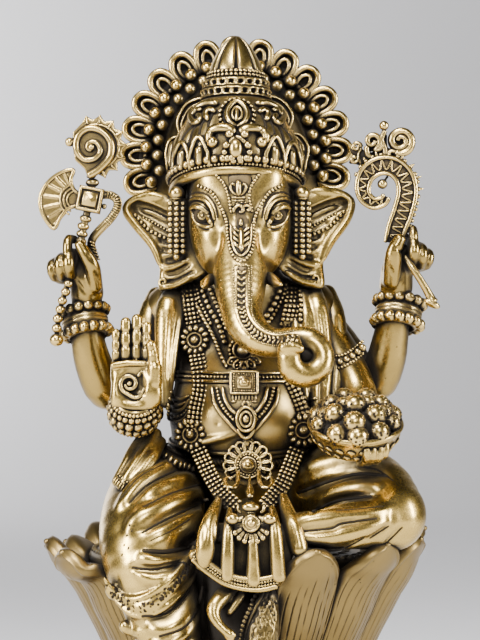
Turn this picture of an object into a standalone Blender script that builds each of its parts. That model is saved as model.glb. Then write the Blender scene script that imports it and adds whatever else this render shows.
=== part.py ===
"""A four-armed Ganesha idol in cast brass, seated on an open lotus above a round plinth.

The idol is an assembly of separate castings that are brazed together: plinth, lotus and petals, body,
limbs, head, crown, halo, hand-held attributes and ornaments. Each casting is one object here, and a
brazing gap is left wherever two of them meet.

Frame: the origin is the centre of the plinth's underside, +Z is up and the idol faces -Y. "Right" and
"left" are the idol's own, so its right side is at -X. Sizes below are millimetres; meshes are metres.
"""

import math

import bmesh
import bpy
from mathutils import Matrix, Vector

MM = 0.001
BRAZING_GAP = 0.3
WELD = 0.004

# Driving dimensions, in millimetres.
PLINTH_R = 51.0
PLINTH_H = 8.0
LOWER_LOTUS_TOP = 30.0
CUP_TOP = 70.0
CUP_FOOT_R = 24.0
CUP_RIM_R = 38.0
WALL = 4.0
PETAL_STEP = 22.5
PETAL_FIRST = 16.4
PETAL_TIP_Z = 75.0
PETAL_THICK = 2.2
HALO_CENTRE = (-1.0, 170.0)
HALO_BACK = 17.5
HALO_PLATE_R = 24.0
FEATHER_PITCH_R = 26.1
FEATHER_R = 3.4
FEATHERS = 15
FEATHER_STEP = 15.0
CROWN_X, CROWN_Y = -1.0, -3.0

BRASS = (0.72, 0.53, 0.25, 1.0)
BRIGHT_BRASS = (0.83, 0.65, 0.36, 1.0)
LOTUS_BRASS = (0.66, 0.50, 0.26, 1.0)


def collection(name):
    made = bpy.data.collections.new(name)
    bpy.context.scene.collection.children.link(made)
    return made


def clear_scene():
    for obj in list(bpy.data.objects):
        bpy.data.objects.remove(obj)


def finish(name, colour, roughness):
    """A brass finish: colour, full metal and a roughness."""
    material = bpy.data.materials.new(name)
    material.use_nodes = True
    shader = material.node_tree.nodes["Principled BSDF"]
    shader.inputs["Base Color"].default_value = colour
    shader.inputs["Metallic"].default_value = 1.0
    shader.inputs["Roughness"].default_value = roughness
    return material


def place(name, data, material):
    """A new object holding data, in the idol's collection."""
    obj = bpy.data.objects.new(name, data)
    IDOL.objects.link(obj)
    if data.materials:
        data.materials[0] = material
    else:
        data.materials.append(material)
    return obj


def helper(obj):
    """Keeps obj only as a cutter."""
    for holder in list(obj.users_collection):
        holder.objects.unlink(obj)
    CUTTERS.objects.link(obj)
    obj.hide_render = True
    obj.display_type = "WIRE"
    return obj


def frozen(obj):
    """The object with its modifiers applied, its caps welded and its transform in its mesh."""
    bpy.context.view_layer.update()
    evaluated = obj.evaluated_get(bpy.context.evaluated_depsgraph_get())
    mesh = bpy.data.meshes.new_from_object(evaluated)
    mesh.transform(obj.matrix_world)
    work = bmesh.new()
    work.from_mesh(mesh)
    bmesh.ops.remove_doubles(work, verts=work.verts, dist=WELD * MM)
    bmesh.ops.recalc_face_normals(work, faces=work.faces)
    if work.calc_volume(signed=True) < 0:
        bmesh.ops.reverse_faces(work, faces=work.faces)
    work.to_mesh(mesh)
    work.free()
    name, material = obj.name, obj.data.materials[0]
    bpy.data.objects.remove(obj)
    mesh.name = name
    mesh.materials.clear()
    solid = place(name, mesh, material)
    mesh.shade_smooth()
    mesh.set_sharp_from_angle(angle=math.radians(40))
    return solid


def largest_piece(obj):
    """Drops every loose piece of obj's mesh but the largest, as a cut may leave crumbs."""
    work = bmesh.new()
    work.from_mesh(obj.data)
    left = set(work.verts)
    islands = []
    while left:
        stack = [left.pop()]
        island = set(stack)
        while stack:
            for edge in stack.pop().link_edges:
                for vert in edge.verts:
                    if vert in left:
                        left.discard(vert)
                        island.add(vert)
                        stack.append(vert)
        islands.append(island)

    def extent(island):
        points = [v.co for v in island]
        sides = [max(p[i] for p in points) - min(p[i] for p in points) for i in range(3)]
        return sides[0] * sides[1] + sides[1] * sides[2] + sides[0] * sides[2]

    islands.sort(key=extent, reverse=True)
    loose = [v for island in islands[1:] for v in island]
    bmesh.ops.delete(work, geom=loose, context="VERTS")
    work.to_mesh(obj.data)
    work.free()


def grown(obj, by):
    """A cutter: a copy of obj whose faces stand out by this many millimetres."""
    mesh = obj.data.copy()
    work = bmesh.new()
    work.from_mesh(mesh)
    work.normal_update()
    moves = [v.normal * min(v.calc_shell_factor(), 1.6) * by * MM for v in work.verts]
    for vert, move in zip(work.verts, moves, strict=True):
        vert.co += move
    work.to_mesh(mesh)
    work.free()
    copy = bpy.data.objects.new(obj.name + "_cutter", mesh)
    CUTTERS.objects.link(copy)
    return helper(copy)


def combine(obj, others, operation):
    for other in others:
        modifier = obj.modifiers.new(operation.lower(), "BOOLEAN")
        modifier.operation = operation
        modifier.solver = "EXACT"
        modifier.object = other


def fuse(name, first, *others):
    """One casting made of several overlapping shapes."""
    first = frozen(first)
    others = [frozen(other) for other in others]
    first.name = name
    combine(first, [helper(other) for other in others], "UNION")
    fused = frozen(first)
    for other in others:
        bpy.data.objects.remove(other)
    return fused


def near(first, second):
    """Whether two objects' boxes come within a brazing gap of each other."""
    def box(obj):
        points = [v.co for v in obj.data.vertices]
        return [(min(p[i] for p in points), max(p[i] for p in points)) for i in range(3)]

    reach = 2 * BRAZING_GAP * MM
    return all(
        low_a < high_b + reach and low_b < high_a + reach
        for (low_a, high_a), (low_b, high_b) in zip(box(first), box(second), strict=True)
    )


def seat(part, neighbours):
    """Cuts part back from the castings it is brazed to, and leaves the brazing gap between them."""
    touching = [other for other in neighbours if near(part, other)]
    cutters = [grown(other, BRAZING_GAP) for other in touching]
    if not cutters:
        return part
    combine(part, cutters, "DIFFERENCE")
    part = frozen(part)
    largest_piece(part)
    for cutter in cutters:
        bpy.data.objects.remove(cutter)
    return part


def rotation(tilt):
    """Turns of so many degrees about X, then Y, then Z."""
    about_x, about_y, about_z = (math.radians(t) for t in tilt)
    return (
        Matrix.Rotation(about_z, 4, "Z")
        @ Matrix.Rotation(about_y, 4, "Y")
        @ Matrix.Rotation(about_x, 4, "X")
    )


def ball(name, centre, radii, tilt=(0, 0, 0), segments=10, rings=7, material=None):
    """An ellipsoid."""
    mesh = bpy.data.meshes.new(name)
    work = bmesh.new()
    bmesh.ops.create_uvsphere(work, u_segments=segments, v_segments=rings, radius=MM)
    bmesh.ops.scale(work, vec=Vector(radii), verts=work.verts)
    work.to_mesh(mesh)
    work.free()
    obj = place(name, mesh, material or CAST)
    obj.matrix_world = Matrix.Translation(Vector(centre) * MM) @ rotation(tilt)
    return obj


def block(name, centre, size, tilt=(0, 0, 0), bevel=0.4, material=None):
    """A block with rounded edges."""
    mesh = bpy.data.meshes.new(name)
    work = bmesh.new()
    bmesh.ops.create_cube(work, size=MM)
    bmesh.ops.scale(work, vec=Vector(size), verts=work.verts)
    work.to_mesh(mesh)
    work.free()
    obj = place(name, mesh, material or CAST)
    obj.matrix_world = Matrix.Translation(Vector(centre) * MM) @ rotation(tilt)
    edges = obj.modifiers.new("rounded", "BEVEL")
    edges.width = bevel * MM
    edges.segments = 1
    return obj


def limb(name, stations, sides=6, steps=2, smooth=True, material=None):
    """A tube through stations (x, y, z, radius), tapering from each to the next."""
    curve = bpy.data.curves.new(name, "CURVE")
    curve.dimensions = "3D"
    curve.bevel_depth = MM
    curve.bevel_resolution = (sides - 4) // 2
    curve.use_fill_caps = True
    curve.resolution_u = steps
    spline = curve.splines.new("BEZIER" if smooth else "POLY")
    points = spline.bezier_points if smooth else spline.points
    points.add(len(stations) - 1)
    for point, (x, y, z, radius) in zip(points, stations, strict=True):
        spot = Vector((x, y, z)) * MM
        point.co = spot if smooth else (*spot, 1.0)
        point.radius = radius
        if smooth:
            point.handle_left_type = point.handle_right_type = "AUTO"
    return place(name, curve, material or CAST)


def turned(name, profile, centre=(0, 0, 0), tilt=(0, 0, 0), steps=24, ring=False, material=None):
    """A shape turned about its own Z axis from a profile of (radius, height), given top to bottom.
    A ring's profile is a closed outline that doesn't reach the axis."""
    mesh = bpy.data.meshes.new(name)
    verts = [(radius * MM, 0, height * MM) for radius, height in profile]
    edges = [(i, i + 1) for i in range(len(verts) - 1)]
    if ring:
        edges.append((len(verts) - 1, 0))
    mesh.from_pydata(verts, edges, [])
    obj = place(name, mesh, material or CAST)
    obj.matrix_world = Matrix.Translation(Vector(centre) * MM) @ rotation(tilt)
    screw = obj.modifiers.new("turn", "SCREW")
    screw.steps = screw.render_steps = steps
    screw.use_merge_vertices = True
    screw.merge_threshold = 0.01 * MM
    return obj


def slab(name, outline, front, back, holes=(), material=None):
    """A flat casting with an outline in X and Z, between two depths in Y."""
    curve = bpy.data.curves.new(name, "CURVE")
    curve.dimensions = "2D"
    curve.fill_mode = "BOTH"
    curve.extrude = (back - front) / 2 * MM
    for ring in (outline, *holes):
        spline = curve.splines.new("POLY")
        spline.points.add(len(ring) - 1)
        for point, (x, z) in zip(spline.points, ring, strict=True):
            point.co = (x * MM, z * MM, 0.0, 1.0)
        spline.use_cyclic_u = True
    obj = place(name, curve, material or CAST)
    obj.location = (0, (front + back) / 2 * MM, 0)
    obj.rotation_euler = (math.radians(90), 0, 0)
    return obj


def arc(centre, radius, start, end, count):
    """Points of an arc in X and Z, from start to end in degrees, counted from +X towards +Z."""
    angles = [math.radians(start + (end - start) * i / (count - 1)) for i in range(count)]
    return [(centre[0] + radius * math.cos(a), centre[1] + radius * math.sin(a)) for a in angles]


# ---------------------------------------------------------------- plinth and lotus

def make_base():
    """The plinth, the downturned lotus and the cup, each hollow underneath as a casting is."""
    inner = PLINTH_R - WALL
    plinth = turned("plinth", [
        (inner, PLINTH_H), (PLINTH_R - 3.0, PLINTH_H), (PLINTH_R - 1.0, PLINTH_H - 1.2),
        (PLINTH_R - 1.0, 3.0), (PLINTH_R, 2.0), (PLINTH_R, 0.0), (inner - 2.0, 0.0), (inner - 2.0, 4.0),
    ], steps=32, ring=True, material=LOTUS)
    low, top = PLINTH_H + BRAZING_GAP, LOWER_LOTUS_TOP
    lower = turned("lower_lotus", [
        (0.0, top), (46.5, top), (47.5, top - 2.0), (45.0, top - 6.0), (45.0, low + 6.0), (48.5, low + 2.0),
        (48.0, low), (44.0, low), (39.0, top - WALL), (0.0, top - WALL),
    ], steps=24, material=LOTUS)
    foot = LOWER_LOTUS_TOP + BRAZING_GAP
    cup = turned("lotus_cup", [
        (0.0, CUP_TOP), (CUP_RIM_R, CUP_TOP), (36.0, 60.0), (31.0, 48.0), (25.5, 39.0),
        (CUP_FOOT_R, foot + 3.0), (CUP_FOOT_R + 3.0, foot), (CUP_FOOT_R - 2.0, foot),
        (CUP_FOOT_R - 2.0, 40.0), (31.0, CUP_TOP - WALL), (0.0, CUP_TOP - WALL),
    ], steps=20, material=LOTUS)
    return [frozen(plinth), frozen(lower), frozen(cup)]


def petal(name, bearing):
    """One upright petal: a curved sheet that widens from its foot and rolls outwards at its tip."""
    across, along = 2, 5
    foot_z = LOWER_LOTUS_TOP + 2.0
    rows = []
    for j in range(along + 1):
        t = j / along
        height = foot_z + (PETAL_TIP_Z - foot_z) * t
        radius = 29.5 + 15.5 * t**0.85 + 4.4 * t**5
        spread = 10.2 if t < 0.6 else 10.2 * math.sqrt(max(0.03, 1 - ((t - 0.6) / 0.41) ** 2))
        row = []
        for i in range(across + 1):
            u = 2 * i / across - 1
            angle = math.radians(bearing + u * spread)
            bowed = radius - 1.6 * u * u
            row.append((bowed * math.sin(angle), -bowed * math.cos(angle), height - 0.8 * u * u))
        rows.append(row)
    verts = [tuple(c * MM for c in point) for row in rows for point in row]
    line = across + 1
    faces = [
        (j * line + i, j * line + i + 1, (j + 1) * line + i + 1, (j + 1) * line + i)
        for j in range(along) for i in range(across)
    ]
    mesh = bpy.data.meshes.new(name)
    mesh.from_pydata(verts, [], faces)
    obj = place(name, mesh, LOTUS)
    shell = obj.modifiers.new("wall", "SOLIDIFY")
    shell.thickness = PETAL_THICK * MM
    shell.offset = 0.0
    return frozen(obj)


def make_petals():
    """Fourteen petals. The two places at the front, where the right leg hangs down, are left open."""
    bearings = [PETAL_FIRST + PETAL_STEP * i for i in range(14)]
    return [petal(f"petal_{i + 1:02d}", bearing) for i, bearing in enumerate(bearings)]


# ---------------------------------------------------------------- figure

def make_body():
    belly = ball("body", (0.5, -4, 103), (19.5, 19.5, 19), segments=14, rings=9)
    chest = ball("chest", (0, 1, 121), (18, 12.5, 16))
    hips = ball("hips", (0, 2, 87), (25, 19, 13), segments=14)
    neck = limb("neck", [(0, 1, 126, 10), (0, -1, 142, 9)], smooth=False)
    return fuse("body", belly, chest, hips, neck)


def make_legs():
    """The right leg hangs down in front of the lotus and the left is folded across it."""
    right = limb("right_leg", [
        (-15, -8, 86, 13), (-22, -25, 81, 13.5), (-22.5, -36, 70, 11.5), (-18.5, -39.5, 56, 9.5),
        (-14.5, -41, 42, 7.0),
    ], sides=8)
    left = limb("left_leg", [
        (16, -8, 86, 13), (28, -19, 84, 12.5), (35, -27, 80, 11), (27, -35, 78, 8.5), (10, -39, 76, 7),
    ], sides=8)
    right_foot = ball("right_foot", (-14, -42.5, 33.5), (4.6, 7.5, 3.6))
    left_foot = ball("left_foot", (1.5, -39.5, 73.5), (8, 4.2, 3.8), (0, 12, 0))
    return [frozen(part) for part in (right, left, right_foot, left_foot)]


def make_sash():
    """The pleated front fall of the dhoti: it leaves the lap, turns over the shins and ends in a hem."""
    hem = arc((1.5, 84.5), 20.0, 232, 292, 7)
    outline = [*hem, (9.0, 74.0), (8.0, 80.0), (-5.0, 80.0), (-8.5, 76.0)]
    fall = slab("front_sash", outline, -48.5, -45.5)
    lap = block("lap_fold", (1.5, -38.5, 80.6), (12.4, 17.0, 2.8), (16, 0, 0))
    return fuse("front_sash", fall, lap)


def make_head():
    skull = ball("head", (0, -6, 154), (13, 14, 16), segments=14, rings=9)
    cheeks = ball("cheeks", (-0.3, -11, 145), (10.5, 9, 11))
    head = fuse("head", skull, cheeks)
    trunk = limb("trunk", [
        (0, -18, 148, 6.8), (-0.3, -22.5, 140, 6.2), (0, -26, 132, 5.6), (1.6, -29.5, 125.6, 5.2),
        (5.5, -32, 121, 4.9), (10.5, -33, 121, 4.4), (16.5, -34, 123.2, 3.6), (20.2, -35, 119.8, 3.4),
        (16.6, -36, 115.0, 3.2), (12.6, -37, 117.0, 2.6),
    ], sides=8)
    right_tusk = limb("right_tusk", [(-7.6, -20, 136.5, 1.4), (-9.3, -24.5, 135.4, 0.7)], smooth=False)
    left_tusk = limb("left_tusk", [(6.8, -20, 137.0, 1.5), (8.8, -25.5, 135.2, 0.7)], smooth=False)
    return head, [frozen(part) for part in (trunk, right_tusk, left_tusk)]


def make_ears():
    """Fan-shaped ears whose lower lobes fold down beside the cheeks."""
    outline = [
        (-28.6, 156.8), (-27.5, 153.0), (-24.0, 147.5), (-21.0, 142.5), (-20.0, 136.0), (-17.5, 134.0),
        (-12.0, 135.5), (-9.5, 140.0), (-11.0, 150.0), (-12.0, 158.5), (-17.0, 160.0), (-23.0, 159.5),
    ]
    right = slab("right_ear", outline, -7.0, -2.5)
    left = slab("left_ear", [(-x - 0.5, z) for x, z in reversed(outline)], -7.0, -2.5)
    return [frozen(right), frozen(left)]


def make_crown():
    """Brow band, domed cap and fluted finial, turned about one axis that leans back a little."""
    lean = (-7, 0, 0)
    centre = (CROWN_X, CROWN_Y, 163)
    band = turned("crown_band", [
        (15.6, 3.0), (16.6, 1.6), (16.8, 0.0), (16.2, -1.6), (15.2, -1.6), (14.6, 0.0),
    ], centre, lean, steps=20, ring=True)
    dome = turned("crown_dome", [
        (0.0, 18.6), (8.6, 18.2), (10.4, 16.0), (12.8, 12.6), (14.8, 8.4), (15.4, 3.4), (0.0, 3.4),
    ], centre, lean, steps=18)
    finial = turned("crown_finial", [
        (0.0, 34.6), (1.4, 33.6), (3.8, 30.6), (6.4, 25.6), (7.0, 23.6), (8.4, 23.0), (8.4, 21.2),
        (7.8, 20.6), (8.8, 20.0), (8.8, 18.6), (0.0, 18.9),
    ], centre, lean, steps=14)
    return [frozen(part) for part in (band, dome, finial)]


def feather_angles():
    middle = 91.5
    return [middle + FEATHER_STEP * (i - (FEATHERS - 1) / 2) for i in range(FEATHERS)]


def make_halo():
    """The arched back plate with a tongue down to the shoulders, and its ring of feather eyes."""
    x, z = HALO_CENTRE
    first, last = feather_angles()[0] - 7, feather_angles()[-1] + 7
    plate_arc = arc(HALO_CENTRE, HALO_PLATE_R, first, last, 16)
    plate = slab("halo_plate", [*plate_arc, (x - 12, 148), (x - 10, 126), (x + 10, 126), (x + 12, 148)],
                 HALO_BACK - 2.6, HALO_BACK)
    outer = []
    for angle in feather_angles():
        bearing = math.radians(angle)
        middle = (x + FEATHER_PITCH_R * math.cos(bearing), z + FEATHER_PITCH_R * math.sin(bearing))
        outer += arc(middle, FEATHER_R + 0.25, angle - 80, angle + 80, 4)
    inner = arc(HALO_CENTRE, HALO_PLATE_R + BRAZING_GAP, last, first, 16)
    feathers = slab("halo_feathers", [*outer, *inner], HALO_BACK - 4.4, HALO_BACK)
    beads_r = (HALO_PLATE_R - 2.9)
    row = arc(HALO_CENTRE, beads_r, first + 4, last - 4, 16)
    beads = limb("halo_beads", [(px, HALO_BACK - 4.6, pz, 1.6) for px, pz in row], sides=6, smooth=False)
    rod = [(0.0, 8.6), (4.0, 8.6), (4.0, 0.0), (0.0, 0.0)]
    stem = turned("halo_stem", rod, (0, 14.6, 156), (90, 0, 0), steps=10)
    return [frozen(part) for part in (plate, feathers, beads, stem)]


# ---------------------------------------------------------------- arms, hands and what they hold

def make_rear_arms():
    right = limb("rear_right_arm", [
        (-14, 6, 128, 7), (-25, 5, 115, 6.6), (-33, 2, 109.5, 5.6), (-37.5, -2, 117, 4.8),
        (-39.3, -4, 123.5, 4.2),
    ], sides=8)
    left = limb("rear_left_arm", [
        (14, 6, 128, 7), (25, 5, 117, 6.6), (33, 2, 110.5, 6.0), (37.8, -2, 118.5, 4.8),
        (39.3, -4, 125.5, 4.2),
    ], sides=8)
    return [frozen(right), frozen(left)]


def fist(name, wrist, side):
    """A closed hand: palm, curled fingers and an upright thumb. side is -1 at the idol's right."""
    x, y, z = wrist
    palm = ball(name, (x - 0.6 * side, y, z + 8.5), (4.4, 3.6, 9.4), (0, -4 * side, 0))
    fingers = ball("fingers", (x + 3.4 * side, y - 2.5, z + 15.5), (4.4, 4.4, 5.2), (0, 20 * side, 0))
    thumb_line = [(x - 0.6 * side, y - 3.0, z + 12, 1.9), (x - 1.2 * side, y - 4.0, z + 19.0, 1.6)]
    thumb = limb("thumb", thumb_line, smooth=False)
    return fuse(name, palm, fingers, thumb)


def make_rear_hands():
    return [fist("rear_right_hand", (-39.6, -5, 126.4), -1), fist("rear_left_hand", (39.6, -5, 128.4), 1)]


def bangles(name, centre, tilt, radius):
    """Two rows of beads joined by a plain cuff."""
    profile = [
        (radius + 0.6, 3.6), (radius + 1.7, 2.4), (radius + 0.7, 1.0), (radius + 0.7, -1.0),
        (radius + 1.8, -2.4), (radius + 0.7, -3.8), (radius - 0.6, -3.4), (radius - 0.8, 3.2),
    ]
    return frozen(turned(name, profile, centre, tilt, steps=12, ring=True, material=ORNAMENT))


def make_bangles():
    return [
        bangles("rear_right_bangles", (-39.2, -4.0, 125.2), (-20, -12, 0), 4.6),
        bangles("rear_left_bangles", (39.2, -4.0, 127.0), (-20, 12, 0), 4.6),
        bangles("blessing_bangles", (-25.4, -24.0, 104.5), (48, 4, 0), 4.8),
    ]


def make_front_arms():
    right = limb("front_right_arm", [
        (-16, 0, 124, 6.4), (-23, -4, 110, 6.0), (-25.4, -12, 102, 5.2), (-25.5, -22, 103, 4.2),
    ], sides=8)
    left = limb("front_left_arm", [
        (16, 0, 126, 6.6), (24, -3, 116, 6.2), (27, -7, 107, 5.4), (27.4, -20, 100, 4.4), (28, -30, 97, 4.0),
    ], sides=8)
    return [frozen(right), frozen(left)]


def make_blessing_hand():
    """The open right palm, raised towards the viewer."""
    y = -27.5
    palm = ball("blessing_hand", (-25.3, y, 112.2), (6.2, 3.0, 8.4), (-6, 0, 0))
    tips = [(-29.6, 124.2, 1.2), (-27.2, 127.2, 1.35), (-24.6, 127.6, 1.35), (-22.2, 126.0, 1.2)]
    fingers = []
    for i, (x, tip, radius) in enumerate(tips):
        line = [(x + 0.2, y, 115, radius), (x, y - 0.3, tip, radius * 0.85)]
        fingers.append(limb(f"finger_{i}", line, sides=6, smooth=False))
    thumb = limb("thumb", [(-21.6, y - 0.5, 111, 1.9), (-20.2, y - 1.0, 121.5, 1.2)], sides=6, smooth=False)
    return fuse("blessing_hand", palm, *fingers, thumb)


def make_bowl():
    """A bowl of sweets, tipped forward on the open left hand."""
    centre, tip = (27.4, -34.5, 101.5), (30, 0, 0)
    bowl = turned("bowl", [
        (0.0, -5.4), (3.6, -5.2), (6.6, -3.6), (8.6, -1.2), (9.4, 1.6), (10.6, 1.8), (10.9, 1.0),
        (9.8, -2.4), (7.4, -5.2), (4.0, -6.8), (0.0, -7.0),
    ], centre, tip, steps=14)
    bowl = frozen(bowl)
    frame = Matrix.Translation(Vector(centre)) @ rotation(tip)
    heap = []
    spots = [(0.0, 0.0, 2.2)] + [
        (5.4 * math.cos(math.radians(60 * i)), 5.4 * math.sin(math.radians(60 * i)), 0.8) for i in range(6)
    ]
    for i, spot in enumerate(spots):
        heap.append(ball(f"sweet_{i}", frame @ Vector(spot), (3.1, 3.1, 3.1), segments=8, rings=6))
    sweets = fuse("laddu_heap", *heap)
    hand = ball("bowl_hand", (29.2, -35.5, 94.2), (6.0, 6.6, 3.0), (18, -14, 0))
    return bowl, sweets, frozen(hand)


def make_axe():
    """The battle axe in the rear right hand: beaded shaft, boss with crescent blade, scroll finial, hook."""
    y = -12.0
    shaft = limb("axe_shaft", [
        (-45.2, y + 3, 121.5, 2.0), (-44.6, y + 2, 127.0, 1.4), (-42.6, y, 138.0, 1.4),
        (-39.4, y, 151.0, 1.5), (-37.2, y, 164.0, 1.5),
    ], sides=8)
    boss = block("axe_blade", (-37.4, y, 157.7), (6.0, 4.4, 6.0), (0, 10, 0))
    edge = arc((-39.8, 157.2), 9.4, 102, 244, 9)
    outline = [*edge, (-43.4, 152.6), (-40.2, 154.8), (-39.2, 160.0), (-42.2, 162.4)]
    blade = slab("blade", outline, y - 1.2, y + 1.2)
    axe = fuse("axe_blade", boss, blade)
    teeth = []
    for i in range(14):
        bearing = math.radians(150 - 20 * i)
        radius = 7.6 if i % 2 else 6.5
        teeth.append((-36.0 + radius * math.cos(bearing), 171.4 + radius * math.sin(bearing)))
    scroll = slab("scroll_finial", [*teeth, (-38.5, 164.4), (-41.8, 167.4)], y - 1.1, y + 1.1)
    hook = limb("axe_hook", [
        (-34.2, y, 158.4, 0.9), (-31.0, y, 157.4, 0.9), (-31.0, y + 1, 154.0, 0.9),
        (-34.0, y + 3, 148.5, 0.9), (-35.6, y + 5, 144.0, 0.9),
    ], sides=6)
    return [frozen(shaft), axe, frozen(scroll), frozen(hook)]


def make_goad():
    """The goad in the rear left hand: a band that coils into a spiral, a leaf scroll and a rod below."""
    y = -11.5
    centre = (34.0, 164.2)
    spiral = [(40.0, y, 143.5, 2.0), (39.6, y, 149.0, 2.3), (41.6, y, 156.0, 2.4), (42.0, y, 163.5, 2.4)]
    for i in range(1, 9):
        turn = math.radians(20 + 38 * i)
        radius = 7.2 - 0.5 * i
        x, z = centre[0] + radius * math.cos(turn), centre[1] + radius * math.sin(turn)
        spiral.append((x, y, z, 2.2 - 0.14 * i))
    band = limb("goad", spiral, sides=6)
    crest = limb("crest", [
        (38.0, y, 169.8, 1.0), (37.4, y, 175.0, 1.2), (40.6, y, 177.8, 1.2), (43.0, y, 174.6, 1.0),
        (40.6, y, 171.6, 0.9),
    ], sides=6)
    rod = limb("rod", [
        (40.0, y + 0.5, 144.5, 1.4), (43.0, y + 1, 139.0, 1.2), (47.3, y + 1, 131.6, 1.3),
    ], sides=6)
    pommel = ball("pommel", (47.6, y + 1, 131.2), (1.9, 1.9, 1.6), segments=8, rings=5)
    return fuse("goad", band, crest, rod, pommel)


# ---------------------------------------------------------------- dress and ornaments

def make_shawls():
    right = ball("right_shawl", (-17.6, -5, 119.5), (5.2, 10.5, 18.5), (0, 2, 0))
    left = ball("left_shawl", (17.6, -5, 119.5), (5.2, 10.5, 18.5), (0, -2, 0))
    return [frozen(right), frozen(left)]


def make_ornaments():
    """The waist belt, the long garland, and the belly band with its pendant."""
    belt = turned("waist_belt", [
        (26.6, 1.5), (27.4, 0.6), (27.4, -0.6), (26.6, -1.5), (24.6, -1.5), (24.6, 1.5),
    ], (0, 0, 92), (-6, 0, 0), steps=20, ring=True, material=ORNAMENT)
    belt.scale = (0.86, 0.86, 1.0)
    garland = limb("garland", [
        (-9.5, -13.5, 133, 1.7), (-11.5, -19.5, 122, 1.8), (-11.4, -23.0, 110, 1.8), (-11.3, -23.5, 100, 1.8),
        (-8.0, -25.5, 90.5, 1.7), (-4.6, -37.0, 86.8, 1.6), (2.6, -49.0, 82.0, 1.8), (8.4, -37.0, 86.8, 1.6),
        (11.0, -25.5, 90.5, 1.7), (13.0, -22.5, 100, 1.8), (12.8, -22.0, 110, 1.8),
    ], sides=8, material=ORNAMENT)
    band = turned("chest_ornament", [
        (20.7, 1.4), (21.3, 0.0), (20.7, -1.4), (18.6, -1.4), (18.6, 1.4),
    ], (0.5, -4, 111), steps=18, ring=True, material=ORNAMENT)
    pendant = ball("pendant", (0.8, -22.8, 103), (4.2, 2.4, 9.0), material=ORNAMENT)
    return [frozen(belt), frozen(garland), fuse("chest_ornament", band, pendant)]


def make_mouse():
    """The mouse that waits at the foot of the lotus."""
    trunk = ball("mouse", (3.4, -42.5, 48.5), (5.0, 5.2, 13.5), (4, 0, 0))
    head = ball("mouse_head", (-3.4, -45.5, 48.2), (4.4, 4.4, 3.8))
    arm = limb("mouse_arm", [
        (1.0, -41.0, 61.0, 1.7), (-5.4, -43.5, 64.6, 1.4), (-6.8, -45.0, 60.0, 1.3), (-5.0, -46.5, 57.6, 1.2),
    ], sides=6)
    return fuse("mouse", trunk, head, arm)


def main():
    """Builds the castings in the order they are fitted: each is cut back from those before it."""
    head, face = make_head()
    bowl, sweets, bowl_hand = make_bowl()
    groups = [
        make_base(), [make_body()], [head], face, make_crown(), make_ears(), make_halo(),
        [make_sash()], make_rear_hands(), [make_blessing_hand()], [bowl, sweets, bowl_hand], make_axe(),
        [make_goad()], make_bangles(), make_rear_arms(), make_front_arms(), make_legs(), [make_mouse()],
        make_shawls(), make_petals(), make_ornaments(),
    ]
    fitted = []
    for group in groups:
        for part in group:
            fitted.append(seat(part, fitted))


clear_scene()
IDOL = collection("ganesha_idol")
CUTTERS = collection("cutters")
CAST = finish("cast_brass", BRASS, 0.32)
ORNAMENT = finish("bright_brass", BRIGHT_BRASS, 0.25)
LOTUS = finish("lotus_brass", LOTUS_BRASS, 0.4)
main()
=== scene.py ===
"""Looks for the cast brass Ganesha idol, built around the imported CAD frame.

Everything is sized in millimetres and turned into metres only when a mesh is made. A place written as
(u, v) is where a line of sight from the camera crosses the plane y = 0, so seen(u, v, y) is the point
on that line at depth y. Rounded castings are modelled as clay, a distance field that shapes are blended
into and cut from. Chased ornament is laid on their surfaces as beads, rims and rosettes.
"""

import math

import bmesh
import bpy
import numpy as np
import openvdb
from mathutils import Matrix, Vector
from mathutils.bvhtree import BVHTree


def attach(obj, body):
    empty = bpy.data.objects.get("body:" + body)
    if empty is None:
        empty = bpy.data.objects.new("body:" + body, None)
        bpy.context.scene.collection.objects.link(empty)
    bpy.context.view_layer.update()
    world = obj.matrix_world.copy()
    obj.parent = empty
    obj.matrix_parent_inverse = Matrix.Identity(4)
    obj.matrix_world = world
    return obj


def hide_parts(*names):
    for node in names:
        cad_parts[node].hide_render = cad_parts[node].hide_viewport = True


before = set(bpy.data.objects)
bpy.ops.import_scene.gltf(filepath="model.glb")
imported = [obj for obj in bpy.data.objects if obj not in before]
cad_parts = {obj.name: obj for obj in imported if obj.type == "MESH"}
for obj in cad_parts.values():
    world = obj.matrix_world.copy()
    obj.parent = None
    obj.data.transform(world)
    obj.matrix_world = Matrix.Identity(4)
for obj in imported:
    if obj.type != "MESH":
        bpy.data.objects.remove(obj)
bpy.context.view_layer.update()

MM = 0.001
EYE_DISTANCE = 600.0
EYE_HEIGHT = 127.5
CELL = 0.45
PLINTH_R = 51.0


# ---------------------------------------------------------------- geometry kit

def seen(u, v, y):
    """The point at depth y on the line of sight that crosses the plane y = 0 at (u, v)."""
    k = 1 + y / EYE_DISTANCE
    return np.array([u * k, y, EYE_HEIGHT + (v - EYE_HEIGHT) * k])


def route(*stations):
    """Stations (u, v, y, radius) as rows of x, y, z, radius."""
    rows = []
    for u, v, y, radius in stations:
        rows.append([*seen(u, v, y), radius * (1 + y / EYE_DISTANCE)])
    return np.array(rows)


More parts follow.
